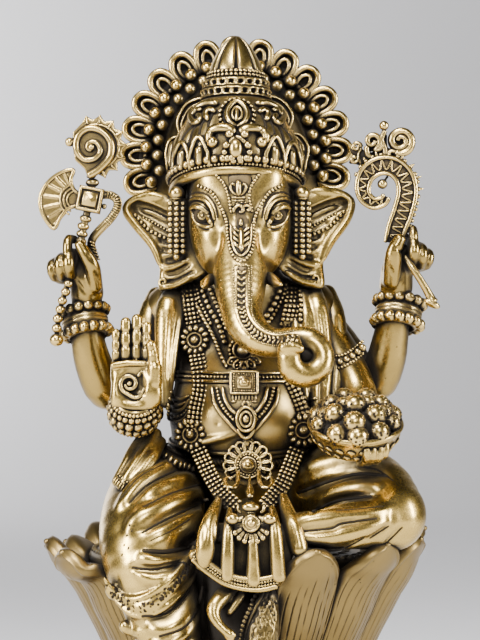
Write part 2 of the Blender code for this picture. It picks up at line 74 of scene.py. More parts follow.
def smooth_path(points, spacing=1.0, closed=False):
    """A Catmull-Rom curve through the points, resampled at an even spacing."""
    points = np.asarray(points, float)
    if closed:
        padded = np.vstack([points[-1:], points, points[:2]])
    else:
        padded = np.vstack([2 * points[:1] - points[1:2], points, 2 * points[-1:] - points[-2:-1]])
    fine = []
    for a, b, c, d in zip(padded, padded[1:], padded[2:], padded[3:]):
        t = np.linspace(0, 1, 24, endpoint=False)[:, None]
        fine.append(0.5 * (2 * b + (c - a) * t + (2 * a - 5 * b + 4 * c - d) * t**2
                           + (3 * b - a - 3 * c + d) * t**3))
    fine = np.vstack(fine + [padded[-2:-1]])
    width = min(3, fine.shape[1])
    gaps = np.linalg.norm(np.diff(fine[:, :width], axis=0), axis=1)
    along = np.concatenate([[0], np.cumsum(gaps)])
    count = max(int(round(along[-1] / spacing)), 2)
    wanted = np.linspace(0, along[-1], count + 1)
    path = np.stack([np.interp(wanted, along, fine[:, i]) for i in range(fine.shape[1])], axis=1)
    return path[:-1] if closed else path


def turn(tilt):
    """A 3x3 rotation of so many degrees about X, then Y, then Z."""
    x, y, z = (math.radians(t) for t in tilt)
    whole = Matrix.Rotation(z, 3, "Z") @ Matrix.Rotation(y, 3, "Y") @ Matrix.Rotation(x, 3, "X")
    return np.array(whole)


def facing(normal, up=(0, 0, 1)):
    """A 3x3 frame whose third axis is the normal and whose second leans towards up."""
    z = np.asarray(normal, float)
    z = z / np.linalg.norm(z)
    x = np.cross(up, z)
    x = x / max(np.linalg.norm(x), 1e-9)
    return np.stack([x, np.cross(z, x), z], axis=1)


def smooth_least(a, b, blend):
    if blend <= 0:
        return np.minimum(a, b)
    h = np.maximum(blend - np.abs(a - b), 0) / blend
    return np.minimum(a, b) - h * h * blend * 0.25


class Clay:
    """A distance field in millimetres, on a grid between two corners."""

    def __init__(self, low, high, cell=CELL, reach=4.0):
        self.low = np.array(low, float)
        self.cell = cell
        self.reach = reach
        count = np.ceil((np.array(high) - self.low) / cell).astype(int) + 1
        self.field = np.full(count, reach, np.float32)

    def span(self, low, high):
        start = np.floor((np.asarray(low) - self.reach - self.low) / self.cell).astype(int)
        stop = np.ceil((np.asarray(high) + self.reach - self.low) / self.cell).astype(int) + 1
        return np.clip(start, 0, self.field.shape), np.clip(stop, 0, self.field.shape)

    def axes(self, start, stop):
        rows = [
            (self.low[i] + self.cell * np.arange(start[i], stop[i])).astype(np.float32) for i in range(3)
        ]
        return np.meshgrid(*rows, indexing="ij", sparse=True)

    def merge(self, start, stop, distance, blend, cut):
        window = tuple(slice(a, b) for a, b in zip(start, stop))
        if cut:
            self.field[window] = -smooth_least(-self.field[window], distance, blend)
        else:
            self.field[window] = smooth_least(self.field[window], distance, blend)

    def ball(self, centre, radii, tilt=(0, 0, 0), blend=2.0, cut=False):
        centre, radii, spin = np.asarray(centre, float), np.asarray(radii, float), turn(tilt)
        half = np.sqrt(((spin * radii) ** 2).sum(axis=1))
        start, stop = self.span(centre - half, centre + half)
        if (stop <= start).any():
            return
        x, y, z = self.axes(start, stop)
        x, y, z = x - centre[0], y - centre[1], z - centre[2]
        local = [spin[0, i] * x + spin[1, i] * y + spin[2, i] * z for i in range(3)]
        near = np.sqrt(sum((q / r) ** 2 for q, r in zip(local, radii)))
        slope = np.sqrt(sum((q / r**2) ** 2 for q, r in zip(local, radii)))
        self.merge(start, stop, near * (near - 1) / np.maximum(slope, 1e-6), blend, cut)

    def limb(self, stations, blend=1.0, cut=False, squash=None, spacing=None):
        """Round cones from each station (x, y, z, radius) to the next. squash is (direction, factor):
        the section is thinner along that direction by the factor."""
        rows = np.asarray(stations, float)
        if spacing:
            rows = smooth_path(rows, spacing)
        start, stop = self.span((rows[:, :3] - rows[:, 3:]).min(0), (rows[:, :3] + rows[:, 3:]).max(0))
        if (stop <= start).any():
            return
        chain = np.full(stop - start, self.reach, np.float32)
        for a, b in zip(rows[:-1], rows[1:]):
            bulk = max(a[3], b[3])
            low, high = self.span(np.minimum(a[:3], b[:3]) - bulk, np.maximum(a[:3], b[:3]) + bulk)
            low, high = np.maximum(low, start), np.minimum(high, stop)
            if (high <= low).any():
                continue
            x, y, z = self.axes(low, high)
            step = b[:3] - a[:3]
            long = max(float(step @ step), 1e-9)
            x, y, z = x - a[0], y - a[1], z - a[2]
            t = np.clip((x * step[0] + y * step[1] + z * step[2]) / long, 0, 1)
            x, y, z = x - t * step[0], y - t * step[1], z - t * step[2]
            square = x * x + y * y + z * z
            if squash is not None:
                direction, factor = np.asarray(squash[0], float), squash[1]
                direction = direction / np.linalg.norm(direction)
                off = x * direction[0] + y * direction[1] + z * direction[2]
                square = square + (factor**2 - 1) * off * off
            distance = np.sqrt(square) - (a[3] + t * (b[3] - a[3]))
            part = tuple(slice(p - o, q - o) for p, q, o in zip(low, high, start))
            np.minimum(chain[part], distance, out=chain[part])
        self.merge(start, stop, chain, blend, cut)

    def plate(self, outline, middle, half, soft=0.6, blend=0.6):
        """A slab with an outline in x and z. middle is its mid-depth, a number or a function of x, z."""
        outline = np.asarray(outline, float)
        deep = middle if callable(middle) else (lambda x, z: middle)
        low_y = min(float(deep(*point)) for point in outline) - half - 3
        high_y = max(float(deep(*point)) for point in outline) + half + 3
        low = [outline[:, 0].min(), low_y, outline[:, 1].min()]
        high = [outline[:, 0].max(), high_y, outline[:, 1].max()]
        start, stop = self.span(low, high)
        if (stop <= start).any():
            return
        x, y, z = self.axes(start, stop)
        flat = flat_distance(outline, x[:, :, 0], z[:, 0, :])[:, None, :]
        thick = np.abs(y - deep(x, z)) - half
        a, b = flat + soft, thick + soft
        distance = np.minimum(np.maximum(a, b), 0) + np.hypot(np.maximum(a, 0), np.maximum(b, 0)) - soft
        self.merge(start, stop, distance.astype(np.float32), blend, False)

    def soften(self):
        """Rounds off every edge a little, as wax does before it is cast."""
        for axis in range(3):
            f = self.field
            before = np.concatenate([np.take(f, [0], axis), np.delete(f, -1, axis)], axis)
            after = np.concatenate([np.delete(f, 0, axis), np.take(f, [-1], axis)], axis)
            self.field = (before + 2 * f + after) / 4

    def solid(self):
        """The clay's surface, as points and quads that face outwards."""
        grid = openvdb.FloatGrid(self.reach)
        grid.copyFromArray(self.field)
        points, quads = grid.convertToQuads(0.0)
        points = points.astype(float) * self.cell + self.low
        a, b, c = points[quads[:, 0]], points[quads[:, 1]], points[quads[:, 2]]
        if (np.cross(b - a, c - a) * a).sum() < 0:
            quads = quads[:, ::-1]
        return points, quads.astype(np.int64)


def flat_distance(outline, x, z):
    """Signed distance to a closed outline, on a grid of x (a column) and z (a row)."""
    best = np.full(np.broadcast(x, z).shape, 1e9)
    inside = np.zeros(best.shape, bool)
    for (ax, az), (bx, bz) in zip(outline, np.roll(outline, -1, axis=0)):
        dx, dz = bx - ax, bz - az
        t = np.clip(((x - ax) * dx + (z - az) * dz) / max(dx * dx + dz * dz, 1e-12), 0, 1)
        best = np.minimum(best, (x - ax - t * dx) ** 2 + (z - az - t * dz) ** 2)
        if az != bz:
            crosses = ((az > z) != (bz > z)) & (x < (z - az) * dx / dz + ax)
            inside ^= crosses
    best = np.sqrt(best)
    return np.where(inside, -best, best)


def bead_form(detail=2):
    work = bmesh.new()
    bmesh.ops.create_icosphere(work, subdivisions=detail, radius=1.0)
    points = np.array([v.co[:] for v in work.verts])
    triangles = np.array([[v.index for v in f.verts] for f in work.faces])
    work.free()
    return points, triangles


BEAD = bead_form(2)
FINE_BEAD = bead_form(3)


class Stock:
    """Points, quads and triangles being gathered into one piece."""

    def __init__(self):
        self.points, self.quads, self.triangles, self.count = [], [], [], 0

    def add(self, points, quads=None, triangles=None):
        points = np.asarray(points, float)
        if quads is not None and len(quads):
            self.quads.append(np.asarray(quads) + self.count)
        if triangles is not None and len(triangles):
            self.triangles.append(np.asarray(triangles) + self.count)
        self.points.append(points)
        self.count += len(points)

    def clay(self, clay):
        points, quads = clay.solid()
        self.add(points, quads)

    def beads(self, centres, radius, fine=False, stretch=(1, 1, 1), spin=None):
        form, triangles = FINE_BEAD if fine else BEAD
        form = form * np.asarray(stretch)
        if spin is not None:
            form = form @ spin.T
        for centre, size in zip(np.asarray(centres)[:, :3], np.broadcast_to(radius, len(centres))):
            self.add(centre + form * size, triangles=triangles)

    def tube(self, stations, sides=8, normal=None, flat=1.0, closed=False):
        """A tube through stations (x, y, z, radius). With a normal, the section is flattened along it."""
        rows = np.asarray(stations, float)
        ahead = np.roll(rows[:, :3], -1, axis=0) - np.roll(rows[:, :3], 1, axis=0)
        if not closed:
            ahead[0], ahead[-1] = rows[1, :3] - rows[0, :3], rows[-1, :3] - rows[-2, :3]
        ahead /= np.maximum(np.linalg.norm(ahead, axis=1, keepdims=True), 1e-9)
        if normal is None:
            side = np.cross(ahead[0], (0, 0, 1) if abs(ahead[0, 2]) < 0.9 else (0, 1, 0))
            frames = []
            for direction in ahead:
                side = side - (side @ direction) * direction
                side /= max(np.linalg.norm(side), 1e-9)
                frames.append(side)
            side = np.array(frames)
            lift = np.cross(ahead, side)
        else:
            lift = np.broadcast_to(np.asarray(normal, float), ahead.shape)
            lift = lift - (lift * ahead).sum(1, keepdims=True) * ahead
            lift = lift / np.maximum(np.linalg.norm(lift, axis=1, keepdims=True), 1e-9)
            side = np.cross(lift, ahead)
        angles = np.linspace(0, 2 * math.pi, sides, endpoint=False)
        ring = rows[:, None, :3] + rows[:, None, 3:4] * (
            np.cos(angles)[None, :, None] * side[:, None]
            + flat * np.sin(angles)[None, :, None] * lift[:, None]
        )
        count = len(rows)
        points = ring.reshape(-1, 3)
        quads = []
        for i in range(count if closed else count - 1):
            a, b = i * sides, ((i + 1) % count) * sides
            for j in range(sides):
                k = (j + 1) % sides
                quads.append((a + j, b + j, b + k, a + k))
        triangles = []
        if not closed:
            ends = [rows[0, :3] - ahead[0] * rows[0, 3] * 0.5, rows[-1, :3] + ahead[-1] * rows[-1, 3] * 0.5]
            points = np.vstack([points, ends])
            first, last = len(points) - 2, len(points) - 1
            for j in range(sides):
                k = (j + 1) % sides
                triangles.append((first, j, k))
                triangles.append((last, (count - 1) * sides + k, (count - 1) * sides + j))
        self.add(points, quads, triangles)

    def sheet(self, grid, around=False):
        """Quads over a grid of points, joined up along the second axis when around is true."""
        rows, columns = grid.shape[:2]
        quads = []
        for i in range(rows - 1):
            for j in range(columns if around else columns - 1):
                k = (j + 1) % columns
                quads.append((i * columns + j, i * columns + k, (i + 1) * columns + k, (i + 1) * columns + j))
        self.add(grid.reshape(-1, 3), quads)

    def turned(self, profile, centre=(0, 0, 0), spin=None, steps=32):
        """A profile of (radius, height) turned about its own third axis."""
        profile = np.asarray(profile, float)
        angles = np.linspace(0, 2 * math.pi, steps, endpoint=False)
        radius = np.repeat(profile[:, :1], steps, axis=1)
        height = np.repeat(profile[:, 1:], steps, axis=1)
        grid = np.stack([radius * np.cos(angles), radius * np.sin(angles), height], axis=2)
        if spin is not None:
            grid = grid @ np.asarray(spin).T
        self.sheet(grid + np.asarray(centre, float), around=True)

    def make(self, name, material, slot, *nodes):
        """A piece that rides on the idol and stands for the named CAD nodes."""
        points = np.vstack(self.points)
        quads = np.vstack(self.quads) if self.quads else np.zeros((0, 4), np.int64)
        triangles = np.vstack(self.triangles) if self.triangles else np.zeros((0, 3), np.int64)
        mesh = bpy.data.meshes.new(name)
        mesh.vertices.add(len(points))
        mesh.vertices.foreach_set("co", (points * MM).astype(np.float32).ravel())
        corners = np.concatenate([quads.ravel(), triangles.ravel()])
        mesh.loops.add(len(corners))
        mesh.loops.foreach_set("vertex_index", corners.astype(np.int32))
        sizes = np.concatenate([np.full(len(quads), 4), np.full(len(triangles), 3)])
        mesh.polygons.add(len(sizes))
        mesh.polygons.foreach_set("loop_start", np.concatenate([[0], np.cumsum(sizes)[:-1]]).astype(np.int32))
        mesh.update(calc_edges=True)
        mesh.validate()
        mesh.shade_smooth()
        mesh.materials.append(material)
        piece = bpy.data.objects.new(name, mesh)
        bpy.context.scene.collection.objects.link(piece)
        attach(piece, "root")
        if nodes:
            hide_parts(*nodes)
        return piece

    def surface(self):
        """A tree for casting lines of sight at what has been gathered."""
        points = [Vector(p) for p in np.vstack(self.points)]
        faces = [tuple(f) for group in (*self.quads, *self.triangles) for f in group.tolist()]
        return BVHTree.FromPolygons(points, faces)


def clay_surface(clay):
    points, quads = clay.solid()
    return BVHTree.FromPolygons([Vector(p) for p in points], [tuple(q) for q in quads.tolist()])


def hit(surfaces, u, v, default=0.0):
    """Where the line of sight through (u, v) first meets one of the surfaces, and the normal there."""
    eye = Vector((0, -EYE_DISTANCE, EYE_HEIGHT))
    ahead = (Vector(seen(u, v, 0)) - eye).normalized()
    best = None
    for surface in surfaces:
        point, normal, _, distance = surface.ray_cast(eye, ahead)
        if point is not None and (best is None or distance < best[0]):
            best = (distance, point, normal)
    if best is None:
        return seen(u, v, default), np.array([0, -1, 0])
    normal = np.array(best[2])
    return np.array(best[1]), normal if normal[1] < 0 else -normal


def draped(surfaces, uv, spacing=0.6, lift=0.0, closed=False, default=0.0):
    """A path of (u, v) points laid on the surfaces, as rows of x, y, z and rows of normals."""
    path = smooth_path(uv, spacing, closed)
    rows, normals = [], []
    for u, v in path:
        point, normal = hit(surfaces, u, v, default)
        rows.append(point)
        normals.append(normal)
    rows, normals = np.array(rows), np.array(normals)
    if len(rows) > 4:
        depth = rows[:, 1].copy()
        for _ in range(2):
            depth[1:-1] = (depth[:-2] + 2 * depth[1:-1] + depth[2:]) / 4
        scale = (EYE_DISTANCE + depth) / (EYE_DISTANCE + rows[:, 1])
        rows = np.stack([rows[:, 0] * scale, depth, EYE_HEIGHT + (rows[:, 2] - EYE_HEIGHT) * scale], axis=1)
    return rows + normals * lift, normals


def with_radius(rows, radius):
    return np.column_stack([rows, np.broadcast_to(radius, len(rows))])


def taper(count, thick, ends=0.4):
    t = np.linspace(-1, 1, count)
    return thick * (ends + (1 - ends) * np.sqrt(np.maximum(1 - t**4, 0)))


# ---------------------------------------------------------------- brass

def brass(name, bright, brown, patina_and_shade, shine, grain=1.0, wear=0.06):
    """Antique brass: rubbed bright on high ground, brown where half hidden and black in the recesses, with
    casting pits and a fine hand-worked grain. The brown and the black are painted shade, set by how hidden
    each point is; in the smallest hollows the black is also the brass's own patina. patina_and_shade is
    how far the black creeps out, 0 to 1."""
    material = bpy.data.materials.new(name)
    material.use_nodes = True
    nodes, links = material.node_tree.nodes, material.node_tree.links
    shader = nodes["Principled BSDF"]

    def node(kind, **values):
        made = nodes.new(kind)
        for key, value in values.items():
            made.inputs[key].default_value = value
        return made

    def ramp(source, *stops):
        made = nodes.new("ShaderNodeValToRGB")
        made.color_ramp.interpolation = "EASE"
        while len(made.color_ramp.elements) < len(stops):
            made.color_ramp.elements.new(0.5)
        for element, (place, shade) in zip(made.color_ramp.elements, stops):
            element.position = place
            element.color = (shade, shade, shade, 1)
        links.new(source, made.inputs["Fac"])
        return made.outputs["Color"]

    def math_node(operation, first, second):
        made = nodes.new("ShaderNodeMath")
        made.operation = operation
        made.use_clamp = True
        for socket, value in zip(made.inputs, (first, second)):
            if isinstance(value, (int, float)):
                socket.default_value = value
            else:
                links.new(value, socket)
        return made.outputs["Value"]

    def mix(factor, first, second):
        made = nodes.new("ShaderNodeMix")
        made.data_type = "RGBA"
        for socket, value in ((made.inputs["Factor"], factor), (made.inputs["A"], first),
                              (made.inputs["B"], second)):
            if isinstance(value, (int, float, tuple)):
                socket.default_value = value
            else:
                links.new(value, socket)
        return made.outputs["Result"]

    place = nodes.new("ShaderNodeTexCoord").outputs["Object"]

    def noise(scale, detail=4.0, rough=0.6):
        made = node("ShaderNodeTexNoise", Scale=scale, Detail=detail, Roughness=rough)
        links.new(place, made.inputs["Vector"])
        return made.outputs["Fac"]

    def openness(reach):
        """How much of the surroundings a point sees within so many millimetres, 0 to 1."""
        made = node("ShaderNodeAmbientOcclusion", Distance=reach * MM)
        made.samples = 8
        return made.outputs["AO"]

    # Openness within 7 and 17 mm reaches hollows far wider than patina fills, such as under the trunk and
    # between the legs, so the darkening it drives is painted shade. Within 2.2 mm it is also the patina of
    # the small hollows.
    hollow, deep, cave = (openness(reach) for reach in (2.2, 7.0, 17.0))
    cloud = noise(260.0, 3.0)
    speck = noise(1500.0, 3.0, 0.7)
    fine = noise(4200.0, 2.0, 0.7)
    shelter = math_node("MULTIPLY", hollow, math_node("POWER", deep, 0.55))
    shelter = math_node("MULTIPLY", shelter, math_node("POWER", cave, 0.45))
    uneven = math_node("ADD", shelter, math_node("MULTIPLY", math_node("SUBTRACT", speck, 0.5), 0.22 * grain))
    clouded = math_node("MULTIPLY", math_node("SUBTRACT", 0.60, cloud), 0.16)
    open_ground = math_node("SUBTRACT", uneven, clouded)
    # Painted shade: black where well hidden, which in the small hollows is also patina, and brown where half
    # hidden.
    black = ramp(open_ground, (0.24 + 0.3 * patina_and_shade, 1.0), (0.52 + 0.3 * patina_and_shade, 0.0))
    slope = ramp(open_ground, (0.45 + 0.3 * patina_and_shade, 1.0), (0.92, 0.0))

    stain = ramp(noise(90.0, 3.0), (0.45, 0.0), (0.75, 1.0))
    warm = mix(math_node("MULTIPLY", stain, 0.18), bright, brown)
    # The brown of half-hidden ground is painted shade; the stain mixed in before it is the brass's own.
    warm = mix(math_node("MULTIPLY", slope, 0.85), warm, brown)
    pits = node("ShaderNodeTexVoronoi", Scale=620.0, Randomness=1.0)
    links.new(place, pits.inputs["Vector"])
    pit = math_node("MULTIPLY", ramp(pits.outputs["Distance"], (0.06, 1.0), (0.13, 0.0)),
                    ramp(noise(150.0, 2.0), (0.54, 0.0), (0.66, 1.0)))
    dark = math_node("MAXIMUM", black, math_node("MULTIPLY", pit, grain))
    links.new(mix(dark, warm, (0.010, 0.008, 0.006, 1)), shader.inputs["Base Color"])
    links.new(math_node("SUBTRACT", 1.0, math_node("MULTIPLY", dark, 0.95)), shader.inputs["Metallic"])
    gloss = math_node("ADD", shine, math_node("MULTIPLY", math_node("SUBTRACT", speck, 0.35), 0.14))
    gloss = math_node("ADD", gloss, math_node("MULTIPLY", slope, 0.10))
    links.new(math_node("MAXIMUM", gloss, math_node("MULTIPLY", dark, 0.7)), shader.inputs["Roughness"])
    sheen = math_node("MULTIPLY", math_node("SUBTRACT", 1.0, math_node("MULTIPLY", dark, 0.85)), 0.5)
    links.new(sheen, shader.inputs["Specular IOR Level"])

    bump = node("ShaderNodeBump", Strength=0.22, Distance=0.06 * MM)
    links.new(math_node("ADD", math_node("MULTIPLY", fine, 0.35), math_node("MULTIPLY", speck, 0.65)),
              bump.inputs["Height"])
    sunk = node("ShaderNodeBump", Strength=0.8, Distance=0.22 * MM)
    sunk.invert = True
    links.new(pit, sunk.inputs["Height"])
    links.new(bump.outputs["Normal"], sunk.inputs["Normal"])
    worn = node("ShaderNodeBump", Strength=wear, Distance=0.5 * MM)
    links.new(noise(170.0, 2.0, 0.5), worn.inputs["Height"])
    links.new(sunk.outputs["Normal"], worn.inputs["Normal"])
    links.new(worn.outputs["Normal"], shader.inputs["Normal"])
    return material


BRIGHT = (0.54, 0.365, 0.095, 1)
# BROWN is the colour of random stains, and also of the painted shade on half-hidden ground.
BROWN = (0.105, 0.080, 0.040, 1)
SKIN = brass("rubbed_brass", BRIGHT, BROWN, 0.38, 0.25)
ARM = brass("arm_brass", (0.29, 0.195, 0.052, 1), (0.07, 0.05, 0.022, 1), 0.44, 0.23, wear=0.22)
CLOTH = brass("dress_brass", (0.50, 0.34, 0.09, 1), BROWN, 0.42, 0.25, grain=0.6)
BELLY = brass("belly_brass", (0.40, 0.275, 0.082, 1), (0.085, 0.064, 0.030, 1), 0.52, 0.31, grain=1.2)
# Darker brass for the sunk grounds of the forehead plate, the trunk strip and the goad's strap: painted
# shade.
SUNK_SHADE = brass("sunk_shade_brass", (0.12, 0.085, 0.04, 1), (0.03, 0.022, 0.012, 1), 0.8, 0.45)
# A much darker copy of the brass for the mouse, which sits in the shade under the sash: painted shade.
SHADED_MOUSE = brass("shaded_mouse_brass", (0.16, 0.11, 0.035, 1), (0.03, 0.022, 0.012, 1), 0.95, 0.30)
# A darker copy of the brass for the halo's back plate and the lotus cup, seen in the gaps between feathers
# and petals: painted shade.
BACKING_IN_SHADE = brass("backing_shade_brass", (0.20, 0.14, 0.05, 1), (0.06, 0.045, 0.02, 1), 0.55, 0.38)
CHASED = brass("chased_brass", (0.62, 0.43, 0.13, 1), (0.14, 0.10, 0.045, 1), 0.58, 0.22, grain=0.6)
LEAF = brass("lotus_brass", (0.195, 0.133, 0.045, 1), (0.085, 0.058, 0.022, 1), 0.36, 0.38, grain=1.3)
# Near-black brass laid in creases, hollows and gaps: painted shade.
PAINTED_SHADE = brass("painted_shade_brass", (0.035, 0.026, 0.015, 1), (0.015, 0.011, 0.007, 1), 0.9, 0.6)


# ---------------------------------------------------------------- stage, camera and lights

def make_stage():
    """A pale seamless sweep: a floor that curves up into a wall behind."""
    profile = [(-1.6, 0.0), (0.9, 0.0)]
    for i in range(1, 13):
        angle = math.pi / 2 * i / 12
        profile.append((0.9 + 0.7 * math.sin(angle), 0.7 - 0.7 * math.cos(angle)))
    profile.append((1.6, 2.6))
    mesh = bpy.data.meshes.new("sweep")
    verts = [(x, y, z) for y, z in profile for x in (-2.6, 2.6)]
    faces = [(2 * i, 2 * i + 1, 2 * i + 3, 2 * i + 2) for i in range(len(profile) - 1)]
    mesh.from_pydata(verts, [], faces)
    mesh.shade_smooth()
    sweep = bpy.data.objects.new("sweep", mesh)
    bpy.context.scene.collection.objects.link(sweep)
    paper = bpy.data.materials.new("pale_paper")
    paper.use_nodes = True
    shader = paper.node_tree.nodes["Principled BSDF"]
    shader.inputs["Base Color"].default_value = (0.72, 0.715, 0.73, 1)
    shader.inputs["Roughness"].default_value = 0.9
    mesh.materials.append(paper)


def softbox(name, place, aim, size, power):
    data = bpy.data.lights.new(name, "AREA")
    data.shape = "RECTANGLE"
    data.size, data.size_y = size
    data.energy = power
    lamp = bpy.data.objects.new(name, data)
    lamp.location = place
    lamp.rotation_euler = (Vector(aim) - Vector(place)).to_track_quat("-Z", "Y").to_euler()
    bpy.context.scene.collection.objects.link(lamp)


def make_camera_and_lights():
    data = bpy.data.cameras.new("camera")
    data.lens = 135.0
    data.sensor_width = 36.0
    data.sensor_fit = "AUTO"
    camera = bpy.data.objects.new("camera", data)
    camera.location = (0, -EYE_DISTANCE * MM, EYE_HEIGHT * MM)
    camera.rotation_euler = (math.radians(90), 0, 0)
    bpy.context.scene.collection.objects.link(camera)
    bpy.context.scene.camera = camera

    world = bpy.data.worlds.new("studio")
    world.use_nodes = True
    world.node_tree.nodes["Background"].inputs["Color"].default_value = (0.55, 0.56, 0.6, 1)
    world.node_tree.nodes["Background"].inputs["Strength"].default_value = 0.03
    bpy.context.scene.world = world
    middle = (0, 0, 0.11)
    softbox("top_box", (-0.10, -0.30, 0.62), middle, (0.20, 0.14), 9.0)
    softbox("left_box", (-0.46, -0.28, 0.26), middle, (0.09, 0.30), 7.5)
    softbox("right_box", (0.48, -0.18, 0.22), middle, (0.07, 0.26), 5.0)
    softbox("front_box", (0.06, -0.66, 0.40), middle, (0.09, 0.09), 3.3)
    softbox("wall_wash", (-0.9, 1.0, 0.35), (-0.5, 1.6, 0.3), (0.4, 0.4), 23.0)


# ---------------------------------------------------------------- torso and limbs

def torso_clay():
    clay = Clay((-36, -32, 68), (36, 24, 150))
    clay.ball((0, 1, 121), (17.5, 12, 16), blend=3)
    clay.ball((1, -4, 104), (18.5, 19.5, 17.5), blend=5)
    clay.ball((0, 2, 87), (25, 18.5, 12.5), blend=5)
    clay.limb([(0, 2, 128, 10.5), (0, -1, 143, 9.5)], blend=4)
    clay.limb([(-17, 1, 129, 7.5), (17, 1, 130, 7.5)], blend=5)
    clay.limb(route((-9, 97, -20, 1.0), (-4, 98.3, -22, 1.0), (2, 100.5, -23, 1.0)), blend=0.6)
    clay.ball(seen(-5.75, 101.75, -23.5), (0.9, 1.6, 0.9), blend=0.5, cut=True)
    return clay


def make_torso():
    clay = torso_clay()
    stock = Stock()
    stock.clay(clay)
    stock.make("torso", BELLY, "cast_brass", "body")
    return stock.surface()


def groove(clay, surface, uv, width=0.8, sink=0.2, blend=0.8, raised=False, default=-40.0):
    """A crease or a ridge along (u, v) points on the clay's front, tapering at both ends. A width may be
    a pair, for the start and the finish."""
    rows, normals = draped([surface], uv, 1.0, default=default)
    rows = rows + normals * (-sink if raised else sink)
    wide = np.linspace(width[0], width[1], len(rows)) if isinstance(width, tuple) else width
    clay.limb(with_radius(rows, taper(len(rows), 1.0) * wide), blend=blend, cut=not raised)


def lay_creases(stock, surface, creases):
    """Painted shade: black tubes along the bottoms of the folds, widest in the middle of each."""
    for line, width in creases:
        thick = 0.42 * (sum(width) / 2 if isinstance(width, tuple) else width)
        lay_tube(stock, [surface], line, thick, lift=-0.45 * thick, ends=0.85, default=-40)


def lay_hem_pits(shadow, surface, band):
    """Black beads for the dents along the hem band of the right leg, and a few on the thigh above it.
    Their black is painted shade in the dents.
    """
    rng = np.random.default_rng(5)
    for u, v in smooth_path(band, 0.5):
        for across in (-0.9, 0.1, 1.0):
            if rng.uniform() < 0.55:
                point, normal = hit([surface], u + rng.uniform(-0.4, 0.4),
                                    v + across + rng.uniform(-0.4, 0.4), -40)
                size = rng.uniform(0.35, 0.8)
                shadow.beads([point - normal * size * 0.55], size, stretch=(rng.uniform(0.7, 1.3), 0.7, 1),
                             spin=turn((0, rng.uniform(-60, 60), 0)))
    for u, v in ((-27.6, 76.2), (-27.0, 74.8), (-28.2, 73.6), (-28.9, 71.2), (-27.9, 70.4), (-29.4, 68.9),
                 (-16.4, 78.4)):
        point, normal = hit([surface], u, v, -40)
        shadow.beads([point - normal * 0.35], 0.6, stretch=(0.8, 0.7, 1.2), spin=turn((0, 25, 0)))


